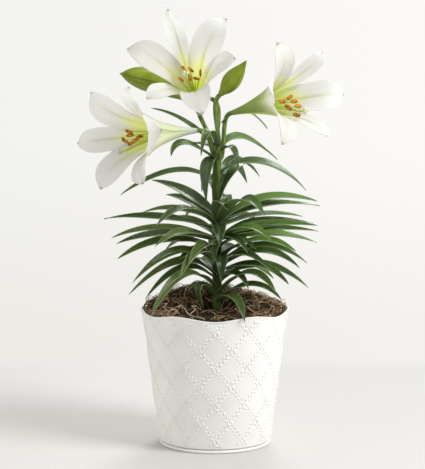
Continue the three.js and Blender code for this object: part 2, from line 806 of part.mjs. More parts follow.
const lily = new THREE.Group();
lily.add(named('pot', planter(), looks.tin));
lily.add(named('soil', pottingMix(), looks.soil));
lily.add(named('moss', mossDressing(), looks.moss));
lily.add(named('leafy_stem', leafyStem(), looks.leaf));
for (const [side, flower] of Object.entries(flowers)) {
  lily.add(named(`bloom_${side}`, bloom(flower), looks.tepal));
  lily.add(named(`stamens_${side}`, stamens(flower), looks.stamen));
  flower.anthers.forEach((_, index) => {
    lily.add(named(`anther_${side}_${index + 1}`, anther(flower, index), looks.anther));
  });
}
for (const [side, bud] of Object.entries(buds)) {
  lily.add(named(`bud_${side}`, closedBud(bud), looks.bud));
}

export default lily;
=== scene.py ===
import random
from math import atan2, cos, exp, floor, pi, radians, sin, sqrt

import bpy
from mathutils import Matrix, Vector, noise


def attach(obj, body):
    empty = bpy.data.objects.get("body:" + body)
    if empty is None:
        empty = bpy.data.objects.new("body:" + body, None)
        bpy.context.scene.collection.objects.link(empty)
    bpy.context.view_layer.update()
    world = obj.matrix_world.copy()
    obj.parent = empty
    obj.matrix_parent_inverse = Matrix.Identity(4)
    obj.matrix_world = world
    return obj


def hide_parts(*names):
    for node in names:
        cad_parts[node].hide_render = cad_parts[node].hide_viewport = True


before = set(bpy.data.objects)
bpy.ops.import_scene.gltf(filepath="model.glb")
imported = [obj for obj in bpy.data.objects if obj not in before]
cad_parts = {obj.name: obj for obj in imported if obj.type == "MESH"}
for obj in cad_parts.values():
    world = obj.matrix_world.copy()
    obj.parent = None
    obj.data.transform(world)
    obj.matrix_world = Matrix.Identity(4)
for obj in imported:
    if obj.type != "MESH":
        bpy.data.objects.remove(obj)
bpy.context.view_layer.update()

# Camera and studio
# The camera stands in front, a little above the blooms, and looks slightly down. The main light is a
# soft box at the front right. Another stands behind the plant and a wide weak one at the left, and a
# pale room fills the shadows. The floor is a pale sheet that fades out at its edges.
mm = 0.001
photo_height = 469
focal_pixels = 1600
sensor = 36
camera_place = Vector((-2.7, -1800, 432)) * mm
camera_tilt = 6.15
light_target = Vector((0, 0, 240)) * mm
soft_boxes = [
    {"name": "main_light", "azimuth": -32, "elevation": 40, "away": 1700, "size": 700, "watts": 26.8,
     "colour": (0.96, 0.98, 1)},
    {"name": "back_light", "azimuth": 80, "elevation": 40, "away": 1600, "size": 560, "watts": 10,
     "colour": (1, 1, 1)},
    {"name": "side_light", "azimuth": -152, "elevation": 14, "away": 1500, "size": 1000, "watts": 3.5,
     "colour": (1, 1, 1)},
]
wall_left_painted_shade = (0.900, 0.893, 0.862, 1)
room_right = (0.968, 0.952, 0.930, 1)
wall_low_painted_shade = (0.93, 0.925, 0.915, 1)
room_across = (-0.14, 0.14)
room_down = (-0.19, -0.04)
room_fill = (0.965, 0.957, 0.94, 1)
room_front_to_back = (-0.5, 0.3)
room_glow = (0.49, 0.95)
room_mirrored = 0.2
floor_size = 1100 * mm
floor_fade = (405 * mm, 545 * mm)
floor_colour = (0.590, 0.571, 0.552, 1)
floor_far_colour = (0.588, 0.574, 0.558, 1)
floor_far = (60 * mm, 360 * mm)
floor_across = (-180 * mm, 120 * mm)
floor_painted_light_tones = (1.06, 0.95)
floor_roughness = 0.7


class Look:
    """Adds nodes to a shader tree. An input takes a value, or the output that it is wired to."""

    def __init__(self, tree):
        self.tree = tree
        self.surface = tree.nodes.get("Principled BSDF")

    def put(self, node, inputs):
        for socket, value in inputs.items():
            if isinstance(value, bpy.types.NodeSocket):
                self.tree.links.new(value, node.inputs[socket])
            else:
                node.inputs[socket].default_value = value

    def node(self, kind, inputs, **settings):
        node = self.tree.nodes.new("ShaderNode" + kind)
        for setting, value in settings.items():
            setattr(node, setting, value)
        self.put(node, inputs)
        return node

    def calculate(self, operation, *numbers):
        return self.node("Math", dict(enumerate(numbers)), operation=operation).outputs[0]

    def plus(self, first, second):
        return self.calculate("ADD", first, second)

    def times(self, first, second):
        return self.calculate("MULTIPLY", first, second)

    def larger(self, first, second):
        return self.calculate("MAXIMUM", first, second)

    def away(self, value, centre):
        """How far a value is from a centre, to either side."""
        return self.calculate("ABSOLUTE", self.calculate("SUBTRACT", value, centre))

    def fade(self, value, start, end, low=0.0, high=1.0):
        """Goes smoothly from low to high while the value goes from start to end."""
        inputs = {"Value": value, "From Min": start, "From Max": end, "To Min": low, "To Max": high}
        return self.node("MapRange", inputs, interpolation_type="SMOOTHSTEP").outputs[0]

    def mix(self, share, first, second, blend="MIX"):
        inputs = {0: share, 6: first, 7: second}
        return self.node("Mix", inputs, data_type="RGBA", blend_type=blend).outputs[2]

    def split(self, vector):
        """The three numbers of a vector."""
        return self.node("SeparateXYZ", {0: vector}).outputs

    def place(self, space="Object"):
        return self.node("TexCoord", {}).outputs[space]

    def leaf_map(self):
        return self.node("UVMap", {}, uv_map="UVMap").outputs[0]

    def attribute(self, name):
        return self.node("Attribute", {}, attribute_name=name).outputs["Fac"]

    def stretch(self, vector, scale):
        return self.node("Mapping", {"Vector": vector, "Scale": scale}).outputs[0]

    def noise(self, vector, scale, detail, roughness=0.5):
        inputs = {"Vector": vector, "Scale": scale, "Detail": detail, "Roughness": roughness}
        return self.node("TexNoise", inputs).outputs[0]

    def finish(self, colour, roughness, height, strength, depth, others={}):
        """Gives the surface its colour, its roughness and a fine relief."""
        relief = self.node("Bump", {"Height": height, "Strength": strength, "Distance": depth}).outputs[0]
        self.put(self.surface, {"Base Color": colour, "Roughness": roughness, "Normal": relief, **others})

    def mix_surface(self, share, first, second, output="Material Output"):
        both = self.node("MixShader", {0: share, 1: first.outputs[0], 2: second.outputs[0]})
        self.put(self.tree.nodes[output], {"Surface": both.outputs[0]})


def new_material(name):
    material = bpy.data.materials.new(name)
    material.use_nodes = True
    return material, Look(material.node_tree)


def pick(*pieces):
    """Selects these pieces alone and makes the first one active."""
    bpy.ops.object.select_all(action="DESELECT")
    for piece in pieces:
        piece.select_set(True)
    if pieces:
        bpy.context.view_layer.objects.active = pieces[0]


def towards(azimuth, elevation=0):
    """The direction at an angle about the vertical and one above the level, in degrees."""
    azimuth, elevation = radians(azimuth), radians(elevation)
    return Vector((cos(elevation) * cos(azimuth), cos(elevation) * sin(azimuth), sin(elevation)))


bpy.ops.object.camera_add(location=camera_place, rotation=(radians(90 - camera_tilt), 0, 0))
camera = bpy.context.object
camera.data.sensor_width = sensor
camera.data.lens = sensor * focal_pixels / photo_height
bpy.context.scene.camera = camera
bpy.context.scene.view_settings.view_transform = "Standard"

for box in soft_boxes:
    heading = towards(box["azimuth"], box["elevation"])
    bpy.ops.object.light_add(type="AREA", location=light_target + heading * box["away"] * mm)
    soft_box = bpy.context.object
    soft_box.name = box["name"]
    soft_box.rotation_euler = heading.to_track_quat("Z", "Y").to_euler()
    soft_box.data.size = box["size"] * mm
    soft_box.data.energy = box["watts"]
    soft_box.data.color = box["colour"]

room = bpy.data.worlds.new("pale_room")
room.use_nodes = True
bpy.context.scene.world = room
look = Look(room.node_tree)
looking_x, looking_y, looking_z = look.split(look.place("Generated"))
# The wall that the camera sees is painted darker at the left and towards the floor, a painted shade on the
# side away from the main light.
wall = look.mix(look.fade(looking_x, *room_across), wall_left_painted_shade, room_right)
wall = look.mix(look.fade(looking_z, *room_down, 1.0, 0.0), wall, wall_low_painted_shade, "MULTIPLY")
wall_light = room.node_tree.nodes["Background"]
look.put(wall_light, {"Color": wall})
rays = look.node("LightPath", {}).outputs
glow = look.fade(looking_y, *room_front_to_back, *room_glow)
glow = look.times(glow, look.fade(rays["Is Glossy Ray"], 0.0, 1.0, 1.0, room_mirrored))
room_light = look.node("Background", {0: room_fill, 1: glow})
look.mix_surface(rays["Is Camera Ray"], room_light, wall_light, "World Output")

pick()
bpy.ops.mesh.primitive_plane_add(size=floor_size)
ground = bpy.context.object
ground.name = "floor_sheet"
paper, look = new_material("floor_paper")
ground_x, ground_y, _ = look.split(look.place())
tint = look.mix(look.fade(ground_y, *floor_far), floor_colour, floor_far_colour)
# The floor is painted lighter at the left and darker at the right, painted light and shade that even out
# the main light's fall across it.
tint = look.mix(1.0, tint, look.fade(ground_x, *floor_across, *floor_painted_light_tones), "MULTIPLY")
look.put(look.surface, {"Base Color": tint, "Roughness": floor_roughness})
ground_reach = look.larger(look.calculate("ABSOLUTE", ground_x), look.calculate("ABSOLUTE", ground_y))
look.mix_surface(look.fade(ground_reach, *floor_fade), look.surface, look.node("BsdfTransparent", {}))
ground.data.materials.append(paper)

# Planter
# A round tapered planter of thin sheet tin, painted warm white. Its side is pressed with a trellis
# of crossing vines that carry small leaves left and right. The foot is rolled into a bead, and the
# rim waves gently, lowest at the front.
planter_height = 153 * mm
rim_radius = 82.5 * mm
foot_radius = 62.8 * mm
planter_wall = 1.4 * mm
planter_floor = 1.5 * mm
planter_sides = 208
bead_radius = 1.95 * mm
bead_outside = 63.9 * mm
bead_step = 18
groove_height = 4.5 * mm
groove_depth = 0.9 * mm
shadow_from = (-0.9 * mm, -0.3 * mm)
shadow_to = (0.2 * mm, 0.9 * mm)
side_heights = (5.2, 5.8, 20, 50, 80, 110, 130, 139, 142, 144, 146, 148, 150, 151.5)
inside_heights = (151, 149, 147, 144, 141, 138)
rim_roll = 0.35 * mm
rim_waves = 6
rim_wave_height = 2.2 * mm
rim_flare = 1.2 * mm
rim_band = 14 * mm

vine_columns = 13
vine_rows = range(-1, 7)
half_cell = 20.65 * mm
half_cell_turn = pi / vine_columns
vine_low_crossing = 14.9 * mm
vine_bottom = 7.5 * mm
vine_top = 150.5 * mm
vine_width = 0.7 * mm
vine_raise = 0.12 * mm
vine_steps = 8
relief_sunk = 0.05 * mm
# Share of the vine's width, and height over the planter's side.
vine_section = [(-0.5, -relief_sunk), (-0.22, vine_raise), (0.22, vine_raise), (0.5, -relief_sunk)]
leaflets_a_side = 5
leaflet_half_length = 2.2 * mm
leaflet_half_width = 1.05 * mm
leaflet_raise = 0.92 * mm
leaflet_offset = 1.7 * mm
leaflet_start = 0.7
leaflet_splay = 30
leaflet_splay_range = 16
leaflet_sizes = (0.75, 1.15)

tin_colour = (0.905, 0.889, 0.858, 1)
tin_warm = (0.86, 0.84, 0.79, 1)
tin_groove_shade = (0.52, 0.50, 0.47, 1)
tin_roughness = (0.36, 0.5)


def side_radius(z):
    return foot_radius + (rim_radius - foot_radius) * z / planter_height


def lathe(name, sides, profile, closed=False):
    """A circle extruded and resized through each radius and height of the profile."""
    pick()
    radius, height = profile[0]
    fill = "NOTHING" if closed else "NGON"
    bpy.ops.mesh.primitive_circle_add(vertices=sides, radius=radius, fill_type=fill)
    turned = bpy.context.object
    turned.name = name
    bpy.ops.object.mode_set(mode="EDIT")
    bpy.ops.mesh.select_all(action="SELECT")
    bpy.ops.transform.translate(value=(0, 0, height))
    for next_radius, next_height in profile[1:]:
        step = {"value": (0, 0, next_height - height)}
        bpy.ops.mesh.extrude_region_move(TRANSFORM_OT_translate=step)
        scale = next_radius / radius
        bpy.ops.transform.resize(value=(scale, scale, 1), center_override=(0, 0, next_height))
        radius, height = next_radius, next_height
    bpy.ops.mesh.select_all(action="SELECT")
    bpy.ops.mesh.remove_doubles(threshold=0.01 * mm)
    bpy.ops.mesh.normals_make_consistent(inside=False)
    bpy.ops.object.mode_set(mode="OBJECT")
    return turned


def join(main, others):
    pick(main, *others)
    bpy.ops.object.join()


def smooth(piece, angle=180):
    pick(piece)
    bpy.ops.object.shade_smooth_by_angle(angle=radians(angle))


bead_centre = bead_outside - bead_radius
groove_radius = side_radius(groove_height) - groove_depth
planter_profile = [(bead_centre - 1 * mm, 0)]
for angle in range(-90, 91, bead_step):
    out = bead_radius * cos(radians(angle))
    over = bead_radius * sin(radians(angle))
    planter_profile.append((bead_centre + out, bead_radius + over))
planter_profile += [(groove_radius, groove_height - 0.4 * mm), (groove_radius, groove_height)]
planter_profile += [(side_radius(z * mm), z * mm) for z in side_heights]
planter_profile += [
    (rim_radius + rim_roll, planter_height - 0.7 * mm),
    (rim_radius, planter_height),
    (rim_radius - planter_wall + rim_roll, planter_height),
    (rim_radius - planter_wall, planter_height - 0.6 * mm),
]
planter_profile += [
    (side_radius(z * mm) - planter_wall, z * mm) for z in (*inside_heights, planter_floor / mm)
]
planter_profile.append((1 * mm, planter_floor))
planter = lathe("planter", planter_sides, planter_profile)

# One raised leaflet, half an egg on its side, is copied along both sides of every vine.
pick()
bpy.ops.mesh.primitive_uv_sphere_add(segments=8, ring_count=6, radius=1)
leaflet = bpy.context.object
bpy.ops.object.mode_set(mode="EDIT")
bpy.ops.mesh.select_all(action="SELECT")
bpy.ops.mesh.bisect(plane_co=(0, 0, 0), plane_no=(0, 1, 0), clear_inner=True)
bpy.ops.object.mode_set(mode="OBJECT")
leaflet_points = [vertex.co.copy() for vertex in leaflet.data.vertices]
leaflet_faces = [tuple(face.vertices) for face in leaflet.data.polygons]
bpy.data.objects.remove(leaflet)

relief_points = []
relief_faces = []


def pressed_point(turn, z, heading, along, across, over):
    """A point over the side, so far along a heading and across it from an angle and height."""
    turn += (along * cos(heading) - across * sin(heading)) / side_radius(z)
    z += along * sin(heading) + across * cos(heading)
    radius = side_radius(z) + over
    return Vector((radius * sin(turn), -radius * cos(turn), z))


def press_leaflet(turn, z, heading, size):
    """A leaflet centred at an angle and height on the side, pointing along its heading there."""
    first = len(relief_points)
    for point in leaflet_points:
        along = point.z * leaflet_half_length * size
        across = point.x * leaflet_half_width * size
        over = leaflet_raise * size * abs(point.y) ** 1.2 - relief_sunk
        relief_points.append(pressed_point(turn, z, heading, along, across, over))
    relief_faces.extend(tuple(first + corner for corner in face) for face in leaflet_faces)


def press_vine(turn_from, turn_to, z_from, z_to):
    """A thin raised line between two crossings."""
    first = len(relief_points)
    heading = atan2(z_to - z_from, (turn_to - turn_from) * side_radius(z_from))
    for step in range(vine_steps + 1):
        share = step / vine_steps
        z = z_from + (z_to - z_from) * share
        turn = turn_from + (turn_to - turn_from) * share
        for across, over in vine_section:
            relief_points.append(pressed_point(turn, z, heading, 0, across * vine_width, over))
    for step in range(vine_steps):
        for strip in range(3):
            corner = first + 4 * step + strip
            relief_faces.append((corner, corner + 4, corner + 5, corner + 1))


draw = random.Random(5)
for row in vine_rows:
    z_from = vine_low_crossing + row * half_cell
    low = max(0, (vine_bottom - z_from) / half_cell)
    high = min(1, (vine_top - z_from) / half_cell)
    for column in range(row % 2, 2 * vine_columns, 2):
        for turn_step in (-half_cell_turn, half_cell_turn):
            turn_from = column * half_cell_turn
            if high > low:
                press_vine(turn_from + turn_step * low, turn_from + turn_step * high,
                           z_from + half_cell * low, z_from + half_cell * high)
            heading = atan2(half_cell, turn_step * side_radius(z_from))
            for index in range(2 * leaflets_a_side):
                share = (index + leaflet_start) / (2 * leaflets_a_side)
                z = z_from + half_cell * share
                side = 1 if index % 2 else -1
                off = side * leaflet_offset
                turn = turn_from + turn_step * share - off * sin(heading) / side_radius(z)
                z += off * cos(heading)
                if vine_bottom < z < vine_top:
                    splay = leaflet_splay + draw.uniform(-leaflet_splay_range, leaflet_splay_range)
                    press_leaflet(turn, z, heading + side * radians(splay), draw.uniform(*leaflet_sizes))

relief_mesh = bpy.data.meshes.new("trellis_relief")
relief_mesh.from_pydata(relief_points, [], relief_faces)
relief = bpy.data.objects.new("trellis_relief", relief_mesh)
bpy.context.scene.collection.objects.link(relief)
join(planter, [relief])
for vertex in planter.data.vertices:
    place = vertex.co
    rise = min((place.z - planter_height + rim_band) / rim_band, 1)
    if rise > 0:
        wave = -cos(rim_waves * atan2(place.x, -place.y)) * rise ** 2 * (3 - 2 * rise)
        radius = sqrt(place.x ** 2 + place.y ** 2)
        place.xy *= (radius + rim_flare * wave) / radius
        place.z += rim_wave_height * wave
smooth(planter, 50)

tin, look = new_material("painted_tin")
place = look.place()
blotch = look.noise(place, scale=28, detail=4, roughness=0.6)
grain = look.noise(place, scale=420, detail=3)
paint = look.mix(look.fade(blotch, 0.35, 0.75), tin_colour, tin_warm)
# A thin band of painted shade darkens the tin in the groove above the foot bead.
over_groove = look.calculate("SUBTRACT", look.split(place)["Z"], groove_height)
shadow = look.times(look.fade(over_groove, *shadow_from), look.fade(over_groove, *shadow_to, 1.0, 0.0))
look.finish(look.mix(shadow, paint, tin_groove_shade), look.fade(blotch, 0.3, 0.7, *tin_roughness),
            grain, strength=0.12, depth=0.3 * mm)
planter.data.materials.append(tin)
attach(planter, "root")
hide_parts("pot")

# Potting mix
# Dark crumbs of peat and bark with a few pale specks of perlite. It fills the planter to just under
# the moss, with a plain hole round the stem.
soil_dark = (0.018, 0.012, 0.008, 1)
soil_light = (0.07, 0.045, 0.028, 1)
soil_speck = (0.55, 0.52, 0.46, 1)
soil_speck_share = (0.955, 0.965)
soil_roughness = 0.95

soil, look = new_material("potting_mix")
place = look.place()
crumbs = look.node("TexVoronoi", {"Vector": place, "Scale": 420}).outputs
paint = look.mix(look.noise(place, scale=160, detail=5), soil_dark, soil_light)
crumb = look.node("SeparateColor", {0: crumbs["Color"]}).outputs[0]
look.finish(look.mix(look.fade(crumb, *soil_speck_share), paint, soil_speck), soil_roughness,
            crumbs["Distance"], strength=0.9, depth=1 * mm)
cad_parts["soil"].data.materials.clear()
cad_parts["soil"].data.materials.append(soil)

# Moss
# A dry top dressing of brown moss, laid on the potting mix. A dark matted bed is heaped higher at
# the left, the back and the right, and fine curled fibres lie tangled over it.
soil_top = 139 * mm
gap = 0.3 * mm
moss_edge = 149.5 * mm
moss_hole = 6.6 * mm
moss_sides = 144
moss_rings = 34
# Each mound's place, its height and how far it spreads. The last one is the hollow round the stem.
moss_mounds = [(-40, 18, 17, 30), (0, 46, 15, 32), (44, 14, 12, 30), (0, -8, -9, 15.8)]
moss_outside = side_radius(soil_top) - planter_wall - gap
moss_wall = 5 * mm
moss_lumps = [(7 * mm, 1.6 * mm), (3 * mm, 0.8 * mm)]
moss_bed_sunk = 2.4 * mm
moss_edge_drop = 2 * mm
moss_edge_width = 6 * mm
moss_mat_colours = ((0.016, 0.010, 0.005, 1), (0.06, 0.04, 0.021, 1))
stem_foot_x = 2 * mm
fibre_kinds = [
    {"name": "moss_dark", "colour": (0.055, 0.037, 0.020), "share": 0.42, "radius": 0.5},
    {"name": "moss_brown", "colour": (0.14, 0.085, 0.042), "share": 0.33, "radius": 0.42},
    {"name": "moss_tan", "colour": (0.39, 0.255, 0.135), "share": 0.19, "radius": 0.4},
    {"name": "moss_pale", "colour": (0.58, 0.44, 0.29), "share": 0.06, "radius": 0.42},
]
fibre_count = 1500
fibre_steps = 12
fibre_step_length = 2.3 * mm
fibre_limit = rim_radius - 2.2 * mm
fibre_curl = 0.6
fibre_wander = 0.4
fibre_sunk = 1.6 * mm
fibre_ripple = 0.9 * mm
fibre_humps = (0.3, 4)
dark_fibre_lifts = (-1.4, 1.6)
light_fibre_lifts = (0.8, 3)
light_fibre_hump = 1.5
fibre_thickness = (0.6, 1.15)
fibre_tip = 0.4
fibre_tones = (0.65, 1.3)
painted_shade_width = 36 * mm
painted_shade_share = 0.75
long_fibre_radius = 0.45 * mm
long_fibre_flattening = 0.95
long_fibre_steps = 5
long_fibres = [
    [(-47, -47, 9), (-42, -52, 13), (-37, -50, 14), (-33, -55, 11), (-30, -61, 8), (-24, -64, 5),
     (-16, -66, 4), (-10, -70, 2)],
    [(30, -30, 6), (36, -36, 9), (39, -44, 8), (47, -50, 5), (55, -52, 4)],
    [(-60, -20, 6), (-54, -28, 9), (-57, -36, 8), (-50, -44, 5)],
    [(-20, -30, 8), (-26, -38, 10), (-22, -46, 9), (-28, -54, 5)],
]


def moss_height(x, y):
    z = moss_edge
    for mound_x, mound_y, rise, spread in moss_mounds:
        far = (x / mm - mound_x) ** 2 + (y / mm - mound_y) ** 2
        z += rise * mm * exp(-far / (2 * spread ** 2))
    return z


def round_bars(name, lines, resolution, materials, angle=60):
    """Round bars, each along its own points and radii, turned from curves into one smooth mesh."""
    data = bpy.data.curves.new(name, "CURVE")
    data.dimensions = "3D"
    data.bevel_depth = 1
    data.bevel_resolution = resolution
    data.use_fill_caps = True
    for material in materials:
        data.materials.append(material)
    for points, radii, kind in lines:
        spline = data.splines.new("POLY")
        spline.points.add(len(points) - 1)
        for place, point, radius in zip(spline.points, points, radii):
            place.co = (*point, 1)
            place.radius = radius
        spline.material_index = kind
        spline.use_smooth = True
    bars = bpy.data.objects.new(name, data)
    bpy.context.scene.collection.objects.link(bars)
    pick(bars)
    bpy.ops.object.convert(target="MESH")
    smooth(bars, angle)
    return bars


def between(before, start, end, after, t):
    """A smooth curve from start to end that also heeds the values on either side."""
    return 0.5 * (
        2 * start
        + (end - before) * t
        + (2 * before - 5 * start + 4 * end - after) * t ** 2
        + (3 * start - before - 3 * end + after) * t ** 3
    )


def mottled_material(name, colours, patch_scale, roughness, grain_scale, grain_depth):
    """A rough natural finish: two colours in soft patches, with a fine uneven surface."""
    material, look = new_material(name)
    place = look.place()
    patch = look.noise(place, patch_scale, detail=5)
    grain = look.noise(place, grain_scale, detail=3)
    look.finish(look.mix(look.fade(patch, 0.35, 0.65), *colours), roughness,
                grain, strength=0.7, depth=grain_depth, others={"Specular IOR Level": 0.2})
    return material


moss_profile = [(moss_outside, soil_top + gap), (moss_outside, soil_top + moss_wall)]
moss_profile += [
    (moss_hole + (moss_outside - moss_hole) * (1 - ring / moss_rings), moss_edge)
    for ring in range(moss_rings + 1)
]
moss_profile += [(moss_hole, soil_top + gap), (moss_outside, soil_top + gap)]
moss_bed = lathe("moss_bed", moss_sides, moss_profile, closed=True)
for vertex in moss_bed.data.vertices:
    place = vertex.co
    radius = sqrt(place.x ** 2 + place.y ** 2)
    if radius < moss_hole + 1 * mm:
        place.x += stem_foot_x
    if place.z > soil_top + moss_wall + 1 * mm:
        lump = sum(height * noise.noise(place / size) for size, height in moss_lumps)
        near_wall = min((moss_outside - radius) / moss_edge_width, 1)
        place.z = moss_height(place.x, place.y) + lump - moss_bed_sunk - (1 - near_wall) * moss_edge_drop
smooth(moss_bed)

draw = random.Random(21)
fibre_lines = []
for index in range(fibre_count):
    chance = draw.random()
    kind = 0
    while chance > fibre_kinds[kind]["share"] and kind < len(fibre_kinds) - 1:
        chance -= fibre_kinds[kind]["share"]
        kind += 1
    reach = moss_outside * sqrt(draw.uniform(0.02, 1))
    angle = draw.uniform(0, 2 * pi)
    x = reach * cos(angle)
    y = reach * sin(angle)
    # In front of the stem most fibres take the darkest colour, a painted shade under the leaves.
    if y < 0 and abs(x) < painted_shade_width and draw.random() < painted_shade_share:
        kind = 0
    light = kind > 1
    heading = draw.uniform(0, 2 * pi)
    curl = draw.uniform(-fibre_curl, fibre_curl)
    lift = draw.uniform(*(light_fibre_lifts if light else dark_fibre_lifts)) * mm
    hump = draw.uniform(*fibre_humps) * mm * (light_fibre_hump if light else 1)
    points = []
    for step in range(fibre_steps):
        share = step / (fibre_steps - 1)
        far = sqrt(x ** 2 + y ** 2)
        if far > fibre_limit:
            x *= fibre_limit / far
            y *= fibre_limit / far
        over = hump * sin(pi * share) + fibre_ripple * sin(7 * share + index)
        points.append(Vector((x, y, moss_height(x, y) - fibre_sunk + lift + over)))
        heading += curl + draw.uniform(-fibre_wander, fibre_wander)
        x += fibre_step_length * cos(heading)
        y += fibre_step_length * sin(heading)
    thick = fibre_kinds[kind]["radius"] * mm * draw.uniform(*fibre_thickness)
    fibre_lines.append((points, [thick] * (fibre_steps - 1) + [thick * fibre_tip], kind))
for route in long_fibres:
    route = [Vector((x * mm, y * mm, moss_height(x * mm, y * mm) + z * long_fibre_flattening * mm))
             for x, y, z in route]
    route = [route[0], *route, route[-1]]
    points = []
    for start in range(len(route) - 3):
        for step in range(long_fibre_steps):
            points.append(between(*route[start:start + 4], step / long_fibre_steps))
    fibre_lines.append((points, [long_fibre_radius] * len(points), len(fibre_kinds) - 1))
fibre_colours = []
for kind in fibre_kinds:
    tones = [tuple(channel * tone for channel in kind["colour"]) + (1,) for tone in fibre_tones]
    fibre_colours.append(mottled_material(kind["name"], tones, 90, 0.8, 900, 0.2 * mm))
moss_fibres = round_bars("moss_fibres", fibre_lines, 0, fibre_colours, angle=180)

moss_bed.data.materials.append(mottled_material("moss_mat", moss_mat_colours, 260, 1, 700, 1 * mm))
for piece in (moss_bed, moss_fibres):
    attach(piece, "root")
    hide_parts("moss")

# Stem and flower stalks
# One upright green stem that stands in the planter and ends in a crown, from which a smooth round
# stalk rises to each flower and bud.
stem_line = [
    (2, 96, 5.2), (2, 142, 5.4), (3, 250, 5), (1, 293, 4.6), (2.5, 321, 4.6), (4, 327, 6.4), (5, 332, 6),
    (5, 337, 3.6),
]
stalk_radius = 2.5 * mm
stalk_end_radius = 2.7 * mm
stalk_lean = 0.3
stalk_reach = 26 * mm
stalk_bend = 16 * mm
stalk_steps = 24
stem_colours = ((0.075, 0.13, 0.018, 1), (0.24, 0.34, 0.075, 1))
stem_foot_painted_shade = (0.10, 0.155, 0.025, 1)
stem_painted_shade = (0.035, 0.06, 0.008, 1)
stem_foot_ends = (165 * mm, 200 * mm)
stem_painted_shade_fade = (270 * mm, 330 * mm)
stem_roughness = 0.34

# Each flower has its stalk's root, its base, the direction that it faces and the first tepal's turn.
# A tepal's row is its tip's distance along the axis and out from it, its width and its extra turn.
# An anther's row is its distance along the axis, its distance out, its angle and where it points.
# A flower's tones are painted shade on each tepal: below 1, a tepal is painted towards a warm grey.
flowers = {
    "left": {
        "root": (0, 0, 320), "base": (-19, -6, 356), "azimuth": -129, "elevation": -1, "roll": 38,
        "inner_first": True,
        "tepals": [(134, 59, 32, 0), (137, 57, 31, 0), (132, 63, 38, 0),
                   (137, 61, 30, 0), (135, 61, 32, 0), (134, 59, 27, 0)],
        "tones": (1, 1, 1, 0.95, 0.95, 1), "green": 0, "anther_size": 1,
        "anthers": [(102, 12.4, 74, 70), (110, 12.3, 117, 57), (106, 10.3, 148, 120),
                    (98, 14.2, 93, 95), (110, 7.1, 226, 121), (106, 6.8, 258, 110)],
        "anther_tilt": 0.2, "stigma": (19, 153),
    },
    "top": {
        "root": (1, -1, 325), "base": (-17, -4, 373), "azimuth": -97, "elevation": 27, "roll": 20,
        "inner_first": False,
        "tepals": [(136, 64, 20, 0), (132, 64, 36, 0), (143, 54, 25, 8),
                   (136, 67, 32, 0), (133, 58, 21, 0), (138, 62, 33, 0)],
        "tones": (1, 1, 0.9, 0.75, 0.7, 0.55), "green": 0, "anther_size": 0.82,
        "anthers": [(107, 5.5, 50, 42), (105, 4.5, 325, 60), (105, 6, 198, 20),
                    (102, 10, 238, 90), (102, 12.8, 278, 0), (99, 9.5, 120, 60)],
        "anther_tilt": 0.7, "stigma": (8.2, 170),
    },
    "right": {
        "root": (8.5, 0, 330), "base": (18, 0, 375), "azimuth": -55, "elevation": 11, "roll": 26,
        "inner_first": True,
        "tepals": [(131, 59, 32, 0), (138, 51, 18, 0), (132, 55, 33, 0),
                   (138, 54, 17, 0), (133, 66, 30, 0), (144, 53, 25, 0)],
        "tones": (0.8, 1, 1, 0.95, 0.78, 0.9), "green": 1, "anther_size": 1.14,
        "anthers": [(103, 4.8, 270, 113), (107, 9, 234, 97), (105, 8.4, 124, 90),
                    (106, 11.7, 176, 66), (108, 15.5, 226, 84), (112, 21.5, 193, 84)],
        "anther_tilt": 0.2, "stigma": (20.9, 211),
    },
}
buds = {
    "left": {
        "root": (2, 1, 330), "base": (-4, 6, 391), "tip": (-108.5, 30, 419), "bow": 5, "radius": 13.6,
        "profile": (0.32, 0.6, 0.85, 0.95, 0.99, 1, 0.95, 0.66, 0.12),
    },
    "right": {
        "root": (5, -1, 333), "base": (5, 0, 395), "tip": (35, -22, 434), "bow": -5, "radius": 10.2,
        "profile": (0.29, 0.42, 0.72, 0.93, 1, 0.9, 0.66, 0.34, 0.1),
    },
}
up = Vector((0, 0, 1))


def cubic(points, t):
    a, b, c, d = points
    return (1 - t) ** 3 * a + 3 * (1 - t) ** 2 * t * b + 3 * (1 - t) * t ** 2 * c + t ** 3 * d


def cubic_heading(points, t):
    a, b, c, d = points
    return (3 * (1 - t) ** 2 * (b - a) + 6 * (1 - t) * t * (c - b) + 3 * t ** 2 * (d - c)).normalized()


def arch(start, handle, end, t):
    """Place and heading on a curve that is drawn towards one handle."""
    place = (1 - t) ** 2 * start + 2 * (1 - t) * t * handle + t ** 2 * end
    return place, ((1 - t) * (handle - start) + t * (end - handle)).normalized()


def flower_frame(flower):
    """The flower's base, its axis, and a function for the direction at an angle about the axis."""
    axis = towards(flower["azimuth"], flower["elevation"])
    first = (up - axis * axis.z).normalized()
    second = axis.cross(first)

    def outward(degrees):
        return first * cos(radians(degrees)) + second * sin(radians(degrees))

    return Vector(flower["base"]) * mm, axis, outward


def bud_curve(bud, t):
    base = Vector(bud["base"]) * mm
    tip = Vector(bud["tip"]) * mm
    return arch(base, (base + tip) / 2 + up * bud["bow"] * mm, tip, t)


def stalk_line(root, end, heading):
    root = Vector(root) * mm
    tip = end - heading * gap
    lean = (tip - root) * stalk_lean
    lean.z = 0
    points = (root, root + lean + up * stalk_reach, tip - heading * stalk_bend, tip)
    shares = [step / stalk_steps for step in range(stalk_steps + 1)]
    radii = [stalk_radius + (stalk_end_radius - stalk_radius) * share ** 6 for share in shares]
    return [cubic(points, share) for share in shares], radii, 0


def bar_along(base, axis, rows):
    """A bar for round_bars, from rows of a distance along the axis and a radius."""
    return [base + axis * distance * mm for distance, _ in rows], [radius * mm for _, radius in rows], 0


def living_surface(tint, share, depths):
    """Tints the glints, and lets a share of the light sink in."""
    return {"Specular Tint": tint, "Subsurface Weight": share, "Subsurface Radius": depths,
            "Subsurface Scale": 1}


def stem_centre(z):
    for (low_x, low_z, _), (high_x, high_z, _) in zip(stem_line, stem_line[1:]):
        if z <= high_z:
            return low_x + (high_x - low_x) * (z - low_z) / (high_z - low_z)
    return stem_line[-1][0]


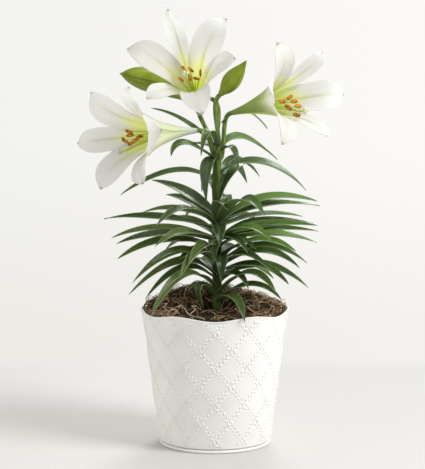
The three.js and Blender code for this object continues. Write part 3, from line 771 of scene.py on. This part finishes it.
stem_green, look = new_material("stem_green")
place = look.place()
streak = look.noise(look.stretch(place, (1, 1, 0.12)), scale=420, detail=3)
height = look.split(place)["Z"]
paint = look.mix(look.fade(streak, 0.3, 0.7), *stem_colours)
# Below the crown the stem is painted dark, a painted shade for the leaves round it, a little less dark at
# its foot.
painted_low_shade = look.mix(look.fade(height, *stem_foot_ends), stem_foot_painted_shade, stem_painted_shade)
paint = look.mix(look.fade(height, *stem_painted_shade_fade), painted_low_shade, paint)
look.finish(paint, stem_roughness, streak, strength=0.3, depth=0.3 * mm,
            others=living_surface((0.92, 1, 0.7, 1), 0.1, (1 * mm, 1.5 * mm, 0.5 * mm)))

stem_points = [Vector((x, 0, z)) * mm for x, z, _ in stem_line]
stalk_lines = [(stem_points, [radius * mm for _, _, radius in stem_line], 0)]
for flower in flowers.values():
    base, axis, _ = flower_frame(flower)
    stalk_lines.append(stalk_line(flower["root"], base, axis))
for bud in buds.values():
    stalk_lines.append(stalk_line(bud["root"], *bud_curve(bud, 0)))
stem = round_bars("stem", stalk_lines, 7, [stem_green])
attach(stem, "root")
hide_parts("leafy_stem")

# Leaves
# Glossy strap leaves set in a spiral all up the stem. Each arches out, folds along its midrib and
# narrows to a fine tip. Parallel veins run its length, and its underside is paler.

# Each row is a leaf's root height and direction, the reach and height of its crown and of its tip,
# its width, and how far it rolls over.
leaf_rows = [
    (335, 35, 33, 346, 82, 320, 17, 25), (332, -50, 22, 336, 32, 313, 12, 0),
    (277, 58, 40, 317, 96, 298, 22, 32), (308, 8, 52, 319, 103, 287, 14, 32),
    (325, -135, 16, 313, 18, 276, 20, 0), (336, -130, 19, 355, 32, 328, 12, -10),
    (323, -155, 41, 342, 57, 328, 13, -30), (334, 140, 28, 340, 43, 338, 9, 0),
    (336, 165, 42, 366, 80, 380, 9, -25), (364, 20, 30, 377, 58, 357, 6, 20),
    (299, 180, 49, 309, 108, 283, 14, -25), (259, 130, 59, 283, 120, 293, 16, -25),
    (252, 125, 55, 271, 106, 276, 14, -20), (247, -130, 56, 271, 103, 256, 15, -15),
    (245, 176, 69, 257, 129, 255, 14, -25), (252, 140, 62, 263, 118, 255, 14, -20),
    (237, 120, 64, 249, 115, 245, 14, -20), (234, -172, 64, 246, 120, 236, 14, -25),
    (231, -160, 65, 241, 119, 232, 14, -30), (227, -125, 64, 246, 118, 234, 15, -20),
    (223, -165, 61, 233, 115, 214, 15, -32), (207, -145, 56, 222, 113, 192, 15, -25),
    (192, -155, 49, 209, 108, 176, 14, -30), (207, -115, 52, 223, 96, 200, 15, -15),
    (221, -112, 44, 230, 84, 214, 15, -15), (178, -135, 54, 196, 102, 156, 16, -20),
    (188, -165, 41, 200, 83, 168, 14, -25), (168, -150, 21, 184, 37, 176, 13, 0),
    (166, -130, 30, 182, 24, 157, 12, 0), (250, -60, 54, 281, 100, 268, 21, 10),
    (249, 6, 51, 278, 114, 275, 16, 30), (250, 14, 55, 270, 121, 268, 15, 22),
    (246, 25, 56, 258, 109, 254, 14, 15), (234, 15, 50, 251, 114, 248, 15, 22),
    (234, -8, 54, 249, 113, 250, 15, 30), (231, -15, 55, 245, 116, 245, 14, 22),
    (229, -50, 49, 250, 90, 239, 16, 20), (232, 40, 61, 239, 114, 227, 14, 15),
    (226, 8, 55, 238, 115, 227, 15, 28), (212, -35, 55, 235, 105, 226, 15, 20),
    (231, -62, 38, 238, 70, 225, 14, 10), (246, -86, 22, 248, 36, 229, 18, 0),
    (207, -12, 54, 226, 103, 208, 14, 25), (200, -28, 56, 222, 103, 206, 15, 25),
    (188, -50, 39, 219, 90, 207, 15, 20), (196, -38, 57, 207, 99, 190, 15, 20),
    (183, -18, 53, 205, 107, 182, 15, 30), (171, -40, 48, 198, 85, 179, 15, 20),
    (165, -35, 49, 184, 87, 171, 14, 20), (161, -70, 58, 173, 88, 151, 13, 5),
    (207, -82, 26, 215, 36, 190, 17, 0), (186, -50, 33, 196, 54, 182, 13, 15),
    (254, -74, 15, 276, 42, 269, 19, 8), (226, -100, 16, 232, 26, 208, 16, 0),
    (212, -150, 26, 222, 50, 212, 16, -15), (224, -30, 26, 234, 50, 224, 16, 15),
]
# The leaves at the back follow the stem's spiral, within a range of directions. Their reach, and how
# far the tip stands over the root, change from the lowest one to the highest.
spiral_turn = 137.5
spiral_leaves = 46
spiral_low = 172
spiral_high = 300
far_side = (52, 128)
far_reach = (112, 96)
far_arch = 16
far_tip = (-6, 22, -26)
far_width = 15
far_roll = 15

leaf_thickness = 0.7 * mm
leaf_fold = 22
leaf_root = 2.4
leaf_widest = 0.38
leaf_foot_share = 0.5
roll_done = 0.4
leaf_across = 10
leaf_along = 26
leaf_ripples = (0.2, 0.7)
midrib_depth = 0.35
midrib_width = 0.13

leaf_top_look = {
    "dark": (0.013, 0.044, 0.003, 1), "light": (0.125, 0.25, 0.022, 1),
    "left_painted_shade": (0.115, 0.165, 0.030, 1), "vein": (0.40, 0.48, 0.24, 1),
    "through": (0.24, 0.46, 0.03, 1), "roughness": 0.24,
}
leaf_under_look = {
    "dark": (0.075, 0.15, 0.028, 1), "light": (0.17, 0.29, 0.06, 1),
    "left_painted_shade": (0.15, 0.21, 0.06, 1), "vein": (0.36, 0.44, 0.22, 1),
    "through": (0.26, 0.44, 0.03, 1), "roughness": 0.46,
}
leaf_see_through = 0.28
painted_shade_left_to_right = (-60 * mm, 50 * mm)
old_leaf = (0.19, 0.24, 0.06, 1)
old_leaf_below = (160 * mm, 245 * mm)
young_leaf = (0.17, 0.28, 0.09, 1)
young_leaf_above = (245 * mm, 345 * mm)
leaf_painted_sheen = (0.27, 0.35, 0.23, 1)
painted_sheen_above = (220 * mm, 310 * mm)
painted_sheen_left_of = (30 * mm, 70 * mm)
leaf_shade = (0.010, 0.024, 0.003, 1)
shade_above = (170 * mm, 230 * mm)


def smoothstep(value, start, end):
    share = min(max((value - start) / (end - start), 0), 1)
    return share * share * (3 - 2 * share)


def leaf_share(t):
    """A leaf's half width along its length, as a share of its greatest half width."""
    if t < leaf_widest:
        return leaf_foot_share + (1 - leaf_foot_share) * sin(pi / 2 * t / leaf_widest)
    return max(cos(pi / 2 * (t - leaf_widest) / (1 - leaf_widest)), 0) ** 0.85 + 0.01


def give_attribute(piece, name, value):
    """Gives a number to every point of a piece, for its material to read."""
    layer = piece.data.attributes.new(name, "FLOAT", "POINT")
    layer.data.foreach_set("value", [value] * len(piece.data.vertices))


def grow_leaf(row, draw):
    root_z, direction, crown_reach, crown_z, tip_reach, tip_z, width, roll = row
    outward = towards(direction)
    level = towards(direction + 90)
    foot = Vector((stem_centre(root_z), 0, 0))
    root = foot + outward * leaf_root + up * root_z
    crown = foot + outward * crown_reach + up * crown_z
    tip = foot + outward * tip_reach + up * tip_z
    handle = 2 * crown - (root + tip) / 2
    ripple = draw.uniform(*leaf_ripples)
    phase = draw.uniform(0, 6)
    pick()
    bpy.ops.mesh.primitive_grid_add(x_subdivisions=leaf_across, y_subdivisions=leaf_along, size=1)
    leaf = bpy.context.object
    for vertex in leaf.data.vertices:
        across = 2 * vertex.co.x
        t = vertex.co.y + 0.5
        centre, heading = arch(root, handle, tip, t)
        turn = radians(roll) * smoothstep(t, 0, roll_done)
        side = Matrix.Rotation(turn, 3, heading) @ level
        lift = heading.cross(side).normalized()
        half = width / 2 * leaf_share(t)
        bow = 0.7 * abs(across) + 0.3 * across ** 2
        groove = midrib_depth * exp(-(across / midrib_width) ** 2) * smoothstep(1 - t, 0, 0.2)
        wave = ripple * across * abs(across) * sin(7 * t + phase)
        vertex.co = (
            centre
            - side * half * across * cos(radians(leaf_fold))
            + lift * (half * sin(radians(leaf_fold)) * bow - groove + wave)
        ) * mm
    give_attribute(leaf, "tone", draw.random())
    return leaf


def give_thickness(piece, thickness, face_material, back_material):
    """Makes a sheet solid, half its thickness to each side, with a material for each side."""
    piece.data.materials.append(face_material)
    piece.data.materials.append(back_material)
    pick(piece)
    bpy.ops.object.modifier_add(type="SOLIDIFY")
    wall = piece.modifiers[-1]
    wall.thickness = thickness
    wall.offset = 0
    wall.material_offset = 1
    bpy.ops.object.modifier_apply(modifier=wall.name)


# Thin parallel lines along a leaf or petal, from its map's first coordinate.
vein_lines = bpy.data.node_groups.new("vein_lines", "ShaderNodeTree")
for name in ("Across", "Count", "Sharpness"):
    vein_lines.interface.new_socket(name, in_out="INPUT", socket_type="NodeSocketFloat")
vein_lines.interface.new_socket("Line", in_out="OUTPUT", socket_type="NodeSocketFloat")
given = vein_lines.nodes.new("NodeGroupInput").outputs
look = Look(vein_lines)
swing = look.times(look.times(given["Across"], given["Count"]), 2 * pi)
swing = look.calculate("MULTIPLY_ADD", look.calculate("COSINE", swing), 0.5, 0.5)
line = look.calculate("POWER", swing, given["Sharpness"])
look.put(vein_lines.nodes.new("NodeGroupOutput"), {"Line": line})


def veins(look, across, count, sharpness):
    inputs = {"Across": across, "Count": count, "Sharpness": sharpness}
    return look.node("Group", inputs, node_tree=vein_lines).outputs[0]


def let_light_through(look, colour, share):
    """Mixes light that passes through a thin living sheet into its surface shader."""
    look.mix_surface(share, look.surface, look.node("BsdfTranslucent", {"Color": colour}))


def leaf_material(name, dark, light, left_painted_shade, vein, through, roughness):
    material, look = new_material(name)
    fade, mix, times = look.fade, look.mix, look.times
    mapped = look.leaf_map()
    across, along, _ = look.split(mapped)
    place = look.place()
    x, _, height = look.split(place)
    tone = look.attribute("tone")
    lines = veins(look, across, 7, 3)
    off_rib = look.away(across, 0.5)
    rib = fade(off_rib, 0.0, 0.07, 1.0, 0.0)
    patch = look.noise(place, scale=30, detail=3)
    streak = look.noise(look.stretch(mapped, (5, 1.2, 1)), scale=3, detail=4)
    blend = look.plus(times(patch, 0.55), times(streak, 0.45))
    blend = look.plus(blend, times(look.calculate("SUBTRACT", tone, 0.5), 0.45))
    # Leaves at the left get a duller, darker light tone, a painted shade for the side away from the light.
    light = mix(fade(x, *painted_shade_left_to_right), left_painted_shade, light)
    paint = mix(fade(blend, 0.34, 0.68), dark, light)
    paint = mix(times(fade(height, *old_leaf_below, 0.55, 0.0), tone), paint, old_leaf)
    paint = mix(fade(height, *young_leaf_above, 0.0, 0.4), paint, young_leaf)
    # The upper leaves, most of all at the left, are streaked with a pale painted sheen.
    painted_sheen = times(fade(streak, 0.46, 0.62), fade(height, *painted_sheen_above, 0.0, 0.42))
    painted_sheen = times(painted_sheen, fade(x, *painted_sheen_left_of, 1.0, 0.3))
    paint = mix(painted_sheen, paint, leaf_painted_sheen)
    # Leaf bases near the stem are painted dark, a painted shade, which is weaker low on the plant.
    root = times(fade(along, 0.0, 0.45, 0.6, 0.0), fade(height, *shade_above, 0.2, 1.0))
    paint = mix(root, paint, leaf_shade)
    marks = look.larger(times(lines, 0.26), times(rib, 0.4))
    marks = look.larger(marks, fade(off_rib, 0.44, 0.49, 0.0, 0.9))
    relief = look.calculate("SUBTRACT", times(lines, 0.5), rib)
    sheen = fade(patch, 0.3, 0.7, roughness - 0.06, roughness + 0.08)
    sheen = look.plus(sheen, fade(along, 0.0, 0.4, 0.3, 0.0))
    look.finish(mix(marks, paint, vein), sheen, relief, strength=0.7, depth=0.3 * mm,
                others={"Specular Tint": (0.93, 1, 0.92, 1), "Specular IOR Level": 0.9})
    let_light_through(look, through, leaf_see_through)
    return material


far_rows = []
for index in range(spiral_leaves):
    direction = index * spiral_turn % 360
    if far_side[0] < direction < far_side[1]:
        share = index / (spiral_leaves - 1)
        root_z = round(spiral_low + (spiral_high - spiral_low) * share)
        reach = round(far_reach[0] + (far_reach[1] - far_reach[0]) * share)
        rise = floor(far_tip[0] + far_tip[1] * share + far_tip[2] * share ** 2 + 0.5)
        far_rows.append((root_z, direction, reach / 2, root_z + far_arch, reach, root_z + rise, far_width,
                         (index % 3 - 1) * far_roll))

draw = random.Random(7)
grown = [grow_leaf(row, draw) for row in leaf_rows + far_rows]
leaves = grown[0]
leaves.name = "leaves"
leaves.data.name = "leaves"
join(leaves, grown[1:])
leaf_top = leaf_material("leaf_top", **leaf_top_look)
leaf_under = leaf_material("leaf_under", **leaf_under_look)
give_thickness(leaves, leaf_thickness, leaf_top, leaf_under)
smooth(leaves, 70)
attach(leaves, "root")
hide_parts("leafy_stem")

# Blooms
# Three open trumpet flowers. Six waxy white tepals, three narrow outside and three broad inside,
# overlap in a tube and flare back at the mouth. The throat and the midribs are yellow-green.
flower_foot = 2.4 * mm
tube_handle = Vector((75, 6)) * mm
inner_flare_handle = Vector((143, 28)) * mm
outer_flare_handle = Vector((139, 33)) * mm
tepal_thickness = 0.7 * mm
whorl_offset = 0.7 * mm
whorl_parts = 0.3
tepal_cup = 60 * mm
margin_wave = 1.4 * mm
margin_turns = 9
flare = (0.55, 0.85)
tube_wrap = 0.92
tepal_widest = 0.66
tepal_foot_share = 0.2
tepal_across = 16
tepal_along = 44
tepal_start = 0.02
# Height, distance from the middle and width of the rib and of the furrows beside it.
tepal_rib = (0.55 * mm, 0, 0.07)
tepal_furrow = (0.4 * mm, 0.16, 0.07)
receptacle = [(0, 2.5), (4, 2.8), (9, 2.6)]

petal_white = (0.965, 0.963, 0.945, 1)
petal_line = (0.88, 0.885, 0.84, 1)
petal_tip = (0.56, 0.54, 0.38, 1)
petal_shade = (0.58, 0.56, 0.48, 1)
petal_green = (0.34, 0.47, 0.03, 1)
petal_roughness = 0.5
petal_see_through = 0.5
petal_inside_look = {
    "throat": (0.84, 0.93, 0.06, 1), "mouth": (0.94, 0.95, 0.45, 1), "rib": (0.62, 0.70, 0.20, 1),
    "reach": (0.26, 0.45, 0.66), "rib_reach": (0.50, 0.99), "side_ribs": 0.0, "greening": 0.0, "glow": 0.22,
}
petal_outside_look = {
    "throat": (0.46, 0.60, 0.20, 1), "mouth": (0.84, 0.86, 0.97, 1), "rib": (0.62, 0.69, 0.42, 1),
    "reach": (0.0, 0.08, 0.5), "rib_reach": (0.35, 0.9), "side_ribs": 0.5, "greening": 0.95, "glow": 0.0,
}


def tepal_share(t):
    if t < tepal_widest:
        return tepal_foot_share + (1 - tepal_foot_share) * sin(pi / 2 * (t / tepal_widest) ** 1.2)
    return max(cos(pi / 2 * ((t - tepal_widest) / (1 - tepal_widest)) ** 1.6), 0) ** 0.95 + 0.02


def petal_material(name, throat, mouth, rib, reach, rib_reach, side_ribs, greening, glow):
    """White along most of the tepal, yellow-green in the tube and along the ribs, grey at the tip."""
    material, look = new_material(name)
    fade, mix, times, larger = look.fade, look.mix, look.times, look.larger
    across, along, _ = look.split(look.leaf_map())
    off_rib = look.away(across, 0.5)
    depth = look.plus(along, times(off_rib, 0.3))
    paint = mix(fade(depth, reach[0], reach[1]), throat, mouth)
    paint = mix(fade(depth, reach[1], reach[2]), paint, petal_white)
    green = times(look.attribute("green"), fade(along, 0.25, 0.58, greening, 0.0))
    paint = mix(green, paint, petal_green)
    band = larger(fade(off_rib, 0.0, 0.12, 0.35, 0.0), fade(off_rib, 0.0, 0.035, 0.8, 0.0))
    band = times(band, fade(along, *rib_reach, 1.0, 0.0))
    side_band = fade(look.away(off_rib, 0.2), 0.0, 0.03, side_ribs, 0.0)
    band = larger(band, times(side_band, fade(along, 0.3, 0.6, 1.0, 0.0)))
    paint = mix(times(band, 0.75), paint, rib)
    lines = veins(look, across, 17, 2.5)
    paint = mix(times(lines, 0.22), paint, petal_line)
    tip = times(fade(along, 0.96, 0.99), fade(off_rib, 0.0, 0.5, 0.8, 0.3))
    paint = mix(tip, paint, petal_tip)
    # The tone paints shade over the tepal, towards a warm grey.
    paint = mix(look.attribute("tone"), petal_shade, paint)
    # Deep in the tube the tepal also glows, a painted light for the light that shines through it.
    painted_glow = fade(depth, reach[1], reach[2], 1.0, 0.0)
    look.finish(paint, petal_roughness, lines, strength=0.35, depth=0.3 * mm,
                others={"Emission Color": mix(painted_glow, (0, 0, 0, 1), paint), "Emission Strength": glow})
    let_light_through(look, paint, petal_see_through)
    return material


petal_inside = petal_material("petal_inside", **petal_inside_look)
petal_outside = petal_material("petal_outside", **petal_outside_look)


def grow_tepal(flower, index):
    base, axis, outward_at = flower_frame(flower)
    inner = (index % 2 == 0) == flower["inner_first"]
    tip_along, tip_out, width, turn = flower["tepals"][index]
    outward = outward_at(flower["roll"] - 60 * index + turn)
    sideways = axis.cross(outward)
    tip = Vector((tip_along, tip_out)) * mm
    line = (Vector((0, flower_foot)), tube_handle, inner_flare_handle if inner else outer_flare_handle, tip)
    whorl = -whorl_offset if inner else whorl_offset
    pick()
    bpy.ops.mesh.primitive_grid_add(x_subdivisions=tepal_across, y_subdivisions=tepal_along, size=1)
    tepal = bpy.context.object
    for vertex in tepal.data.vertices:
        column = 2 * vertex.co.x
        t = tepal_start + (1 - tepal_start) * (vertex.co.y + 0.5)
        middle = cubic(line, t)
        heading = cubic_heading(line, t)
        offset = whorl * smoothstep(t, 0, whorl_parts)
        face = outward * heading.x - axis * heading.y
        centre = base + axis * middle.x + outward * middle.y + face * offset
        open_share = smoothstep(t, *flare)
        bow = 1 / ((1 - open_share) / (middle.y + offset) + open_share / tepal_cup)
        half = min(width * mm / 2 * tepal_share(t), bow * tube_wrap)
        turn = column * half / bow
        wave = open_share * margin_wave * abs(column) * sin(margin_turns * t + index * 2 + column)
        rib, furrow = (height * exp(-((abs(column) - off) / spread) ** 2)
                       for height, off, spread in (tepal_rib, tepal_furrow))
        relief = (rib - furrow) * smoothstep(1 - t, 0, 0.35) * smoothstep(t, 0.3, 0.5)
        vertex.co = centre - sideways * bow * sin(turn) + face * (wave + relief - bow * (1 - cos(turn)))
    give_attribute(tepal, "tone", flower["tones"][index])
    give_attribute(tepal, "green", flower["green"])
    give_thickness(tepal, tepal_thickness, petal_inside, petal_outside)
    return tepal


for side, flower in flowers.items():
    base, axis, _ = flower_frame(flower)
    tepals = [grow_tepal(flower, index) for index in range(6)]
    bloom = tepals[0]
    bloom.name = f"tepals_{side}"
    bloom.data.name = bloom.name
    join(bloom, tepals[1:])
    smooth(bloom, 75)
    cup = round_bars(f"receptacle_{side}", [bar_along(base, axis, receptacle)], 6, [stem_green])
    for piece in (bloom, cup):
        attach(piece, "root")
        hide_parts(f"bloom_{side}")

# Stamens and pistil
# In each throat stand six pale green filaments round one longer style, which ends in a knob of
# three lobes. A pollen-covered anther balances across the tip of each filament.
ovary = [(9.3, 1.8), (14, 1.9), (34, 1.3)]
anther_length = 9.6 * mm
anther_radius = 2 * mm
anther_seat = 0.7 * mm
anther_bow = 0.9 * mm
anther_groove = 0.22
filament_radius = 0.75 * mm
filament_foot = 1.1
thread_rise = 70
thread_end = 16
thread_steps = 20
style_radius = 1.4 * mm
stigma_at = 120
stigma_radius = 3.1 * mm
stigma_half_height = 2.2 * mm
stigma_dent = 0.9 * mm
stigma_lobes = 0.22
filament_colours = ((0.56, 0.68, 0.10, 1), (0.70, 0.78, 0.26, 1))
stigma_colours = ((0.50, 0.56, 0.30, 1), (0.66, 0.70, 0.46, 1))
pollen_colours = ((0.26, 0.09, 0.010, 1), (0.66, 0.32, 0.04, 1))


def thread_points(frame_of_flower, radius, degrees, tip):
    base, axis, outward = frame_of_flower
    root = base + (axis * (ovary[0][0] + 1) + outward(degrees) * radius) * mm
    line = (root, root + axis * thread_rise * mm, tip - axis * thread_end * mm, tip)
    return [cubic(line, step / thread_steps) for step in range(thread_steps + 1)]


def shaped_ball(name, segments, rings, material, place):
    """A ball whose points are moved by a function of their height, angle and girth."""
    pick()
    bpy.ops.mesh.primitive_uv_sphere_add(segments=segments, ring_count=rings, radius=1)
    ball = bpy.context.object
    ball.name = name
    ball.data.name = name
    for vertex in ball.data.vertices:
        x, y, z = vertex.co
        vertex.co = place(z, atan2(y, x), sqrt(max(0, 1 - z ** 2)))
    bpy.ops.object.mode_set(mode="EDIT")
    bpy.ops.mesh.select_all(action="SELECT")
    bpy.ops.mesh.normals_make_consistent(inside=False)
    bpy.ops.object.mode_set(mode="OBJECT")
    smooth(ball)
    ball.data.materials.append(material)
    return ball


filament_green = mottled_material("filament_green", filament_colours, 60, 0.45, 500, 0.1 * mm)
stigma_green = mottled_material("stigma_green", stigma_colours, 300, 0.6, 900, 0.3 * mm)
pollen = mottled_material("pollen", pollen_colours, 260, 0.95, 1600, 0.5 * mm)
for side, flower in flowers.items():
    flower_place = flower_frame(flower)
    base, axis, outward_at = flower_place
    lines = [bar_along(base, axis, ovary)]
    size = flower["anther_size"]
    for index, (reach, radius, degrees, pointing) in enumerate(flower["anthers"]):
        centre = base + (axis * reach + outward_at(degrees) * radius) * mm
        lean = (outward_at(pointing) + axis * flower["anther_tilt"]).normalized()
        over = (axis - lean * axis.dot(lean)).normalized()
        tip = centre - over * (anther_radius * size + anther_seat)
        points = thread_points(flower_place, filament_foot, degrees, tip)
        thinning = [smoothstep(step / thread_steps, 0.7, 1) for step in range(thread_steps + 1)]
        lines.append((points, [filament_radius * (1 - 0.4 * share) for share in thinning], 0))
        turn = lean.to_track_quat("Z", "Y").to_matrix()

        def anther_point(height, angle, girth):
            groove = 1 - anther_groove * cos(angle) ** 6
            bow = anther_bow * (0.5 - height ** 2)
            radius = anther_radius * size * girth ** 0.7 * groove
            flat = Vector((radius * cos(angle), radius * sin(angle), height * anther_length * size / 2))
            return centre + turn @ flat + over * bow

        anther = shaped_ball(f"pollen_{side}_{index + 1}", 20, 18, pollen, anther_point)
        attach(anther, "root")
        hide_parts(f"anther_{side}_{index + 1}")
    radius, degrees = flower["stigma"]
    style_tip = base + (axis * stigma_at + outward_at(degrees) * radius) * mm
    points = thread_points(flower_place, 0, 0, style_tip)
    lines.append((points, [style_radius] * len(points), 0))
    threads = round_bars(f"filaments_{side}", lines, 3, [filament_green])
    knob_turn = axis.to_track_quat("Z", "Y").to_matrix()

    def knob_point(height, angle, girth):
        reach = stigma_radius * girth * (1 + stigma_lobes * cos(3 * angle))
        dent = stigma_dent * (0.5 - 0.5 * cos(3 * angle)) * max(height, 0)
        flat = Vector((reach * cos(angle), reach * sin(angle), height * stigma_half_height - dent))
        return style_tip + knob_turn @ flat

    knob = shaped_ball(f"stigma_{side}", 30, 16, stigma_green, knob_point)
    for piece in (threads, knob):
        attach(piece, "root")
        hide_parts(f"stamens_{side}")

# Buds
# Two closed buds. Three outer tepals meet edge to edge in shallow seams that run from the stalk to
# the blunt tip, and each has a raised midrib.
bud_rib = 0.08
bud_seam = 0.07
bud_seam_width = 0.05
bud_closing = 2.2
bud_colours = ((0.15, 0.205, 0.010, 1), (0.27, 0.32, 0.028, 1))
bud_line = (0.36, 0.41, 0.08, 1)
bud_seam_colour = (0.07, 0.12, 0.02, 1)
bud_end_colour = (0.13, 0.17, 0.03, 1)
bud_roughness = 0.42


def along_profile(values, t):
    """A smooth curve through evenly spaced values."""
    values = (values[0], *values, values[-1])
    spot = t * (len(values) - 3)
    index = min(int(spot), len(values) - 4)
    return between(*values[index:index + 4], spot - index)


bud_green, look = new_material("bud_green")
around, along, _ = look.split(look.leaf_map())
seam = veins(look, around, 3, 60)
fine = veins(look, around, 45, 2)
patch = look.noise(look.place(), scale=45, detail=3)
paint = look.mix(look.fade(patch, 0.3, 0.7), *bud_colours)
paint = look.mix(look.times(fine, 0.18), paint, bud_line)
paint = look.mix(look.times(seam, 0.7), paint, bud_seam_colour)
ends = look.larger(look.fade(along, 0.0, 0.09, 1.0, 0.0), look.fade(along, 0.93, 1.0))
paint = look.mix(look.times(ends, 0.6), paint, bud_end_colour)
look.finish(paint, bud_roughness, fine, strength=0.25, depth=0.3 * mm,
            others=living_surface((0.9, 1, 0.5, 1), 0.2, (2 * mm, 3 * mm, 1 * mm)))

for side, bud in buds.items():

    def bud_point(height, angle, girth):
        t = min(max(0.5 + height / 2, 0), 1)
        place, heading = bud_curve(bud, t)
        level = heading.cross(up).normalized()
        over = level.cross(heading)
        seam = exp(-(((angle * 3 / (2 * pi) + 0.5) % 1 - 0.5) / bud_seam_width) ** 2)
        radius = bud["radius"] * mm * along_profile(bud["profile"], t) * min(1, girth * bud_closing)
        radius *= 1 - bud_rib * cos(3 * angle) - bud_seam * seam
        return place + (level * cos(angle) + over * sin(angle)) * radius

    closed_bud = shaped_ball(f"closed_bud_{side}", 72, 60, bud_green, bud_point)
    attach(closed_bud, "root")
    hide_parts(f"bud_{side}")
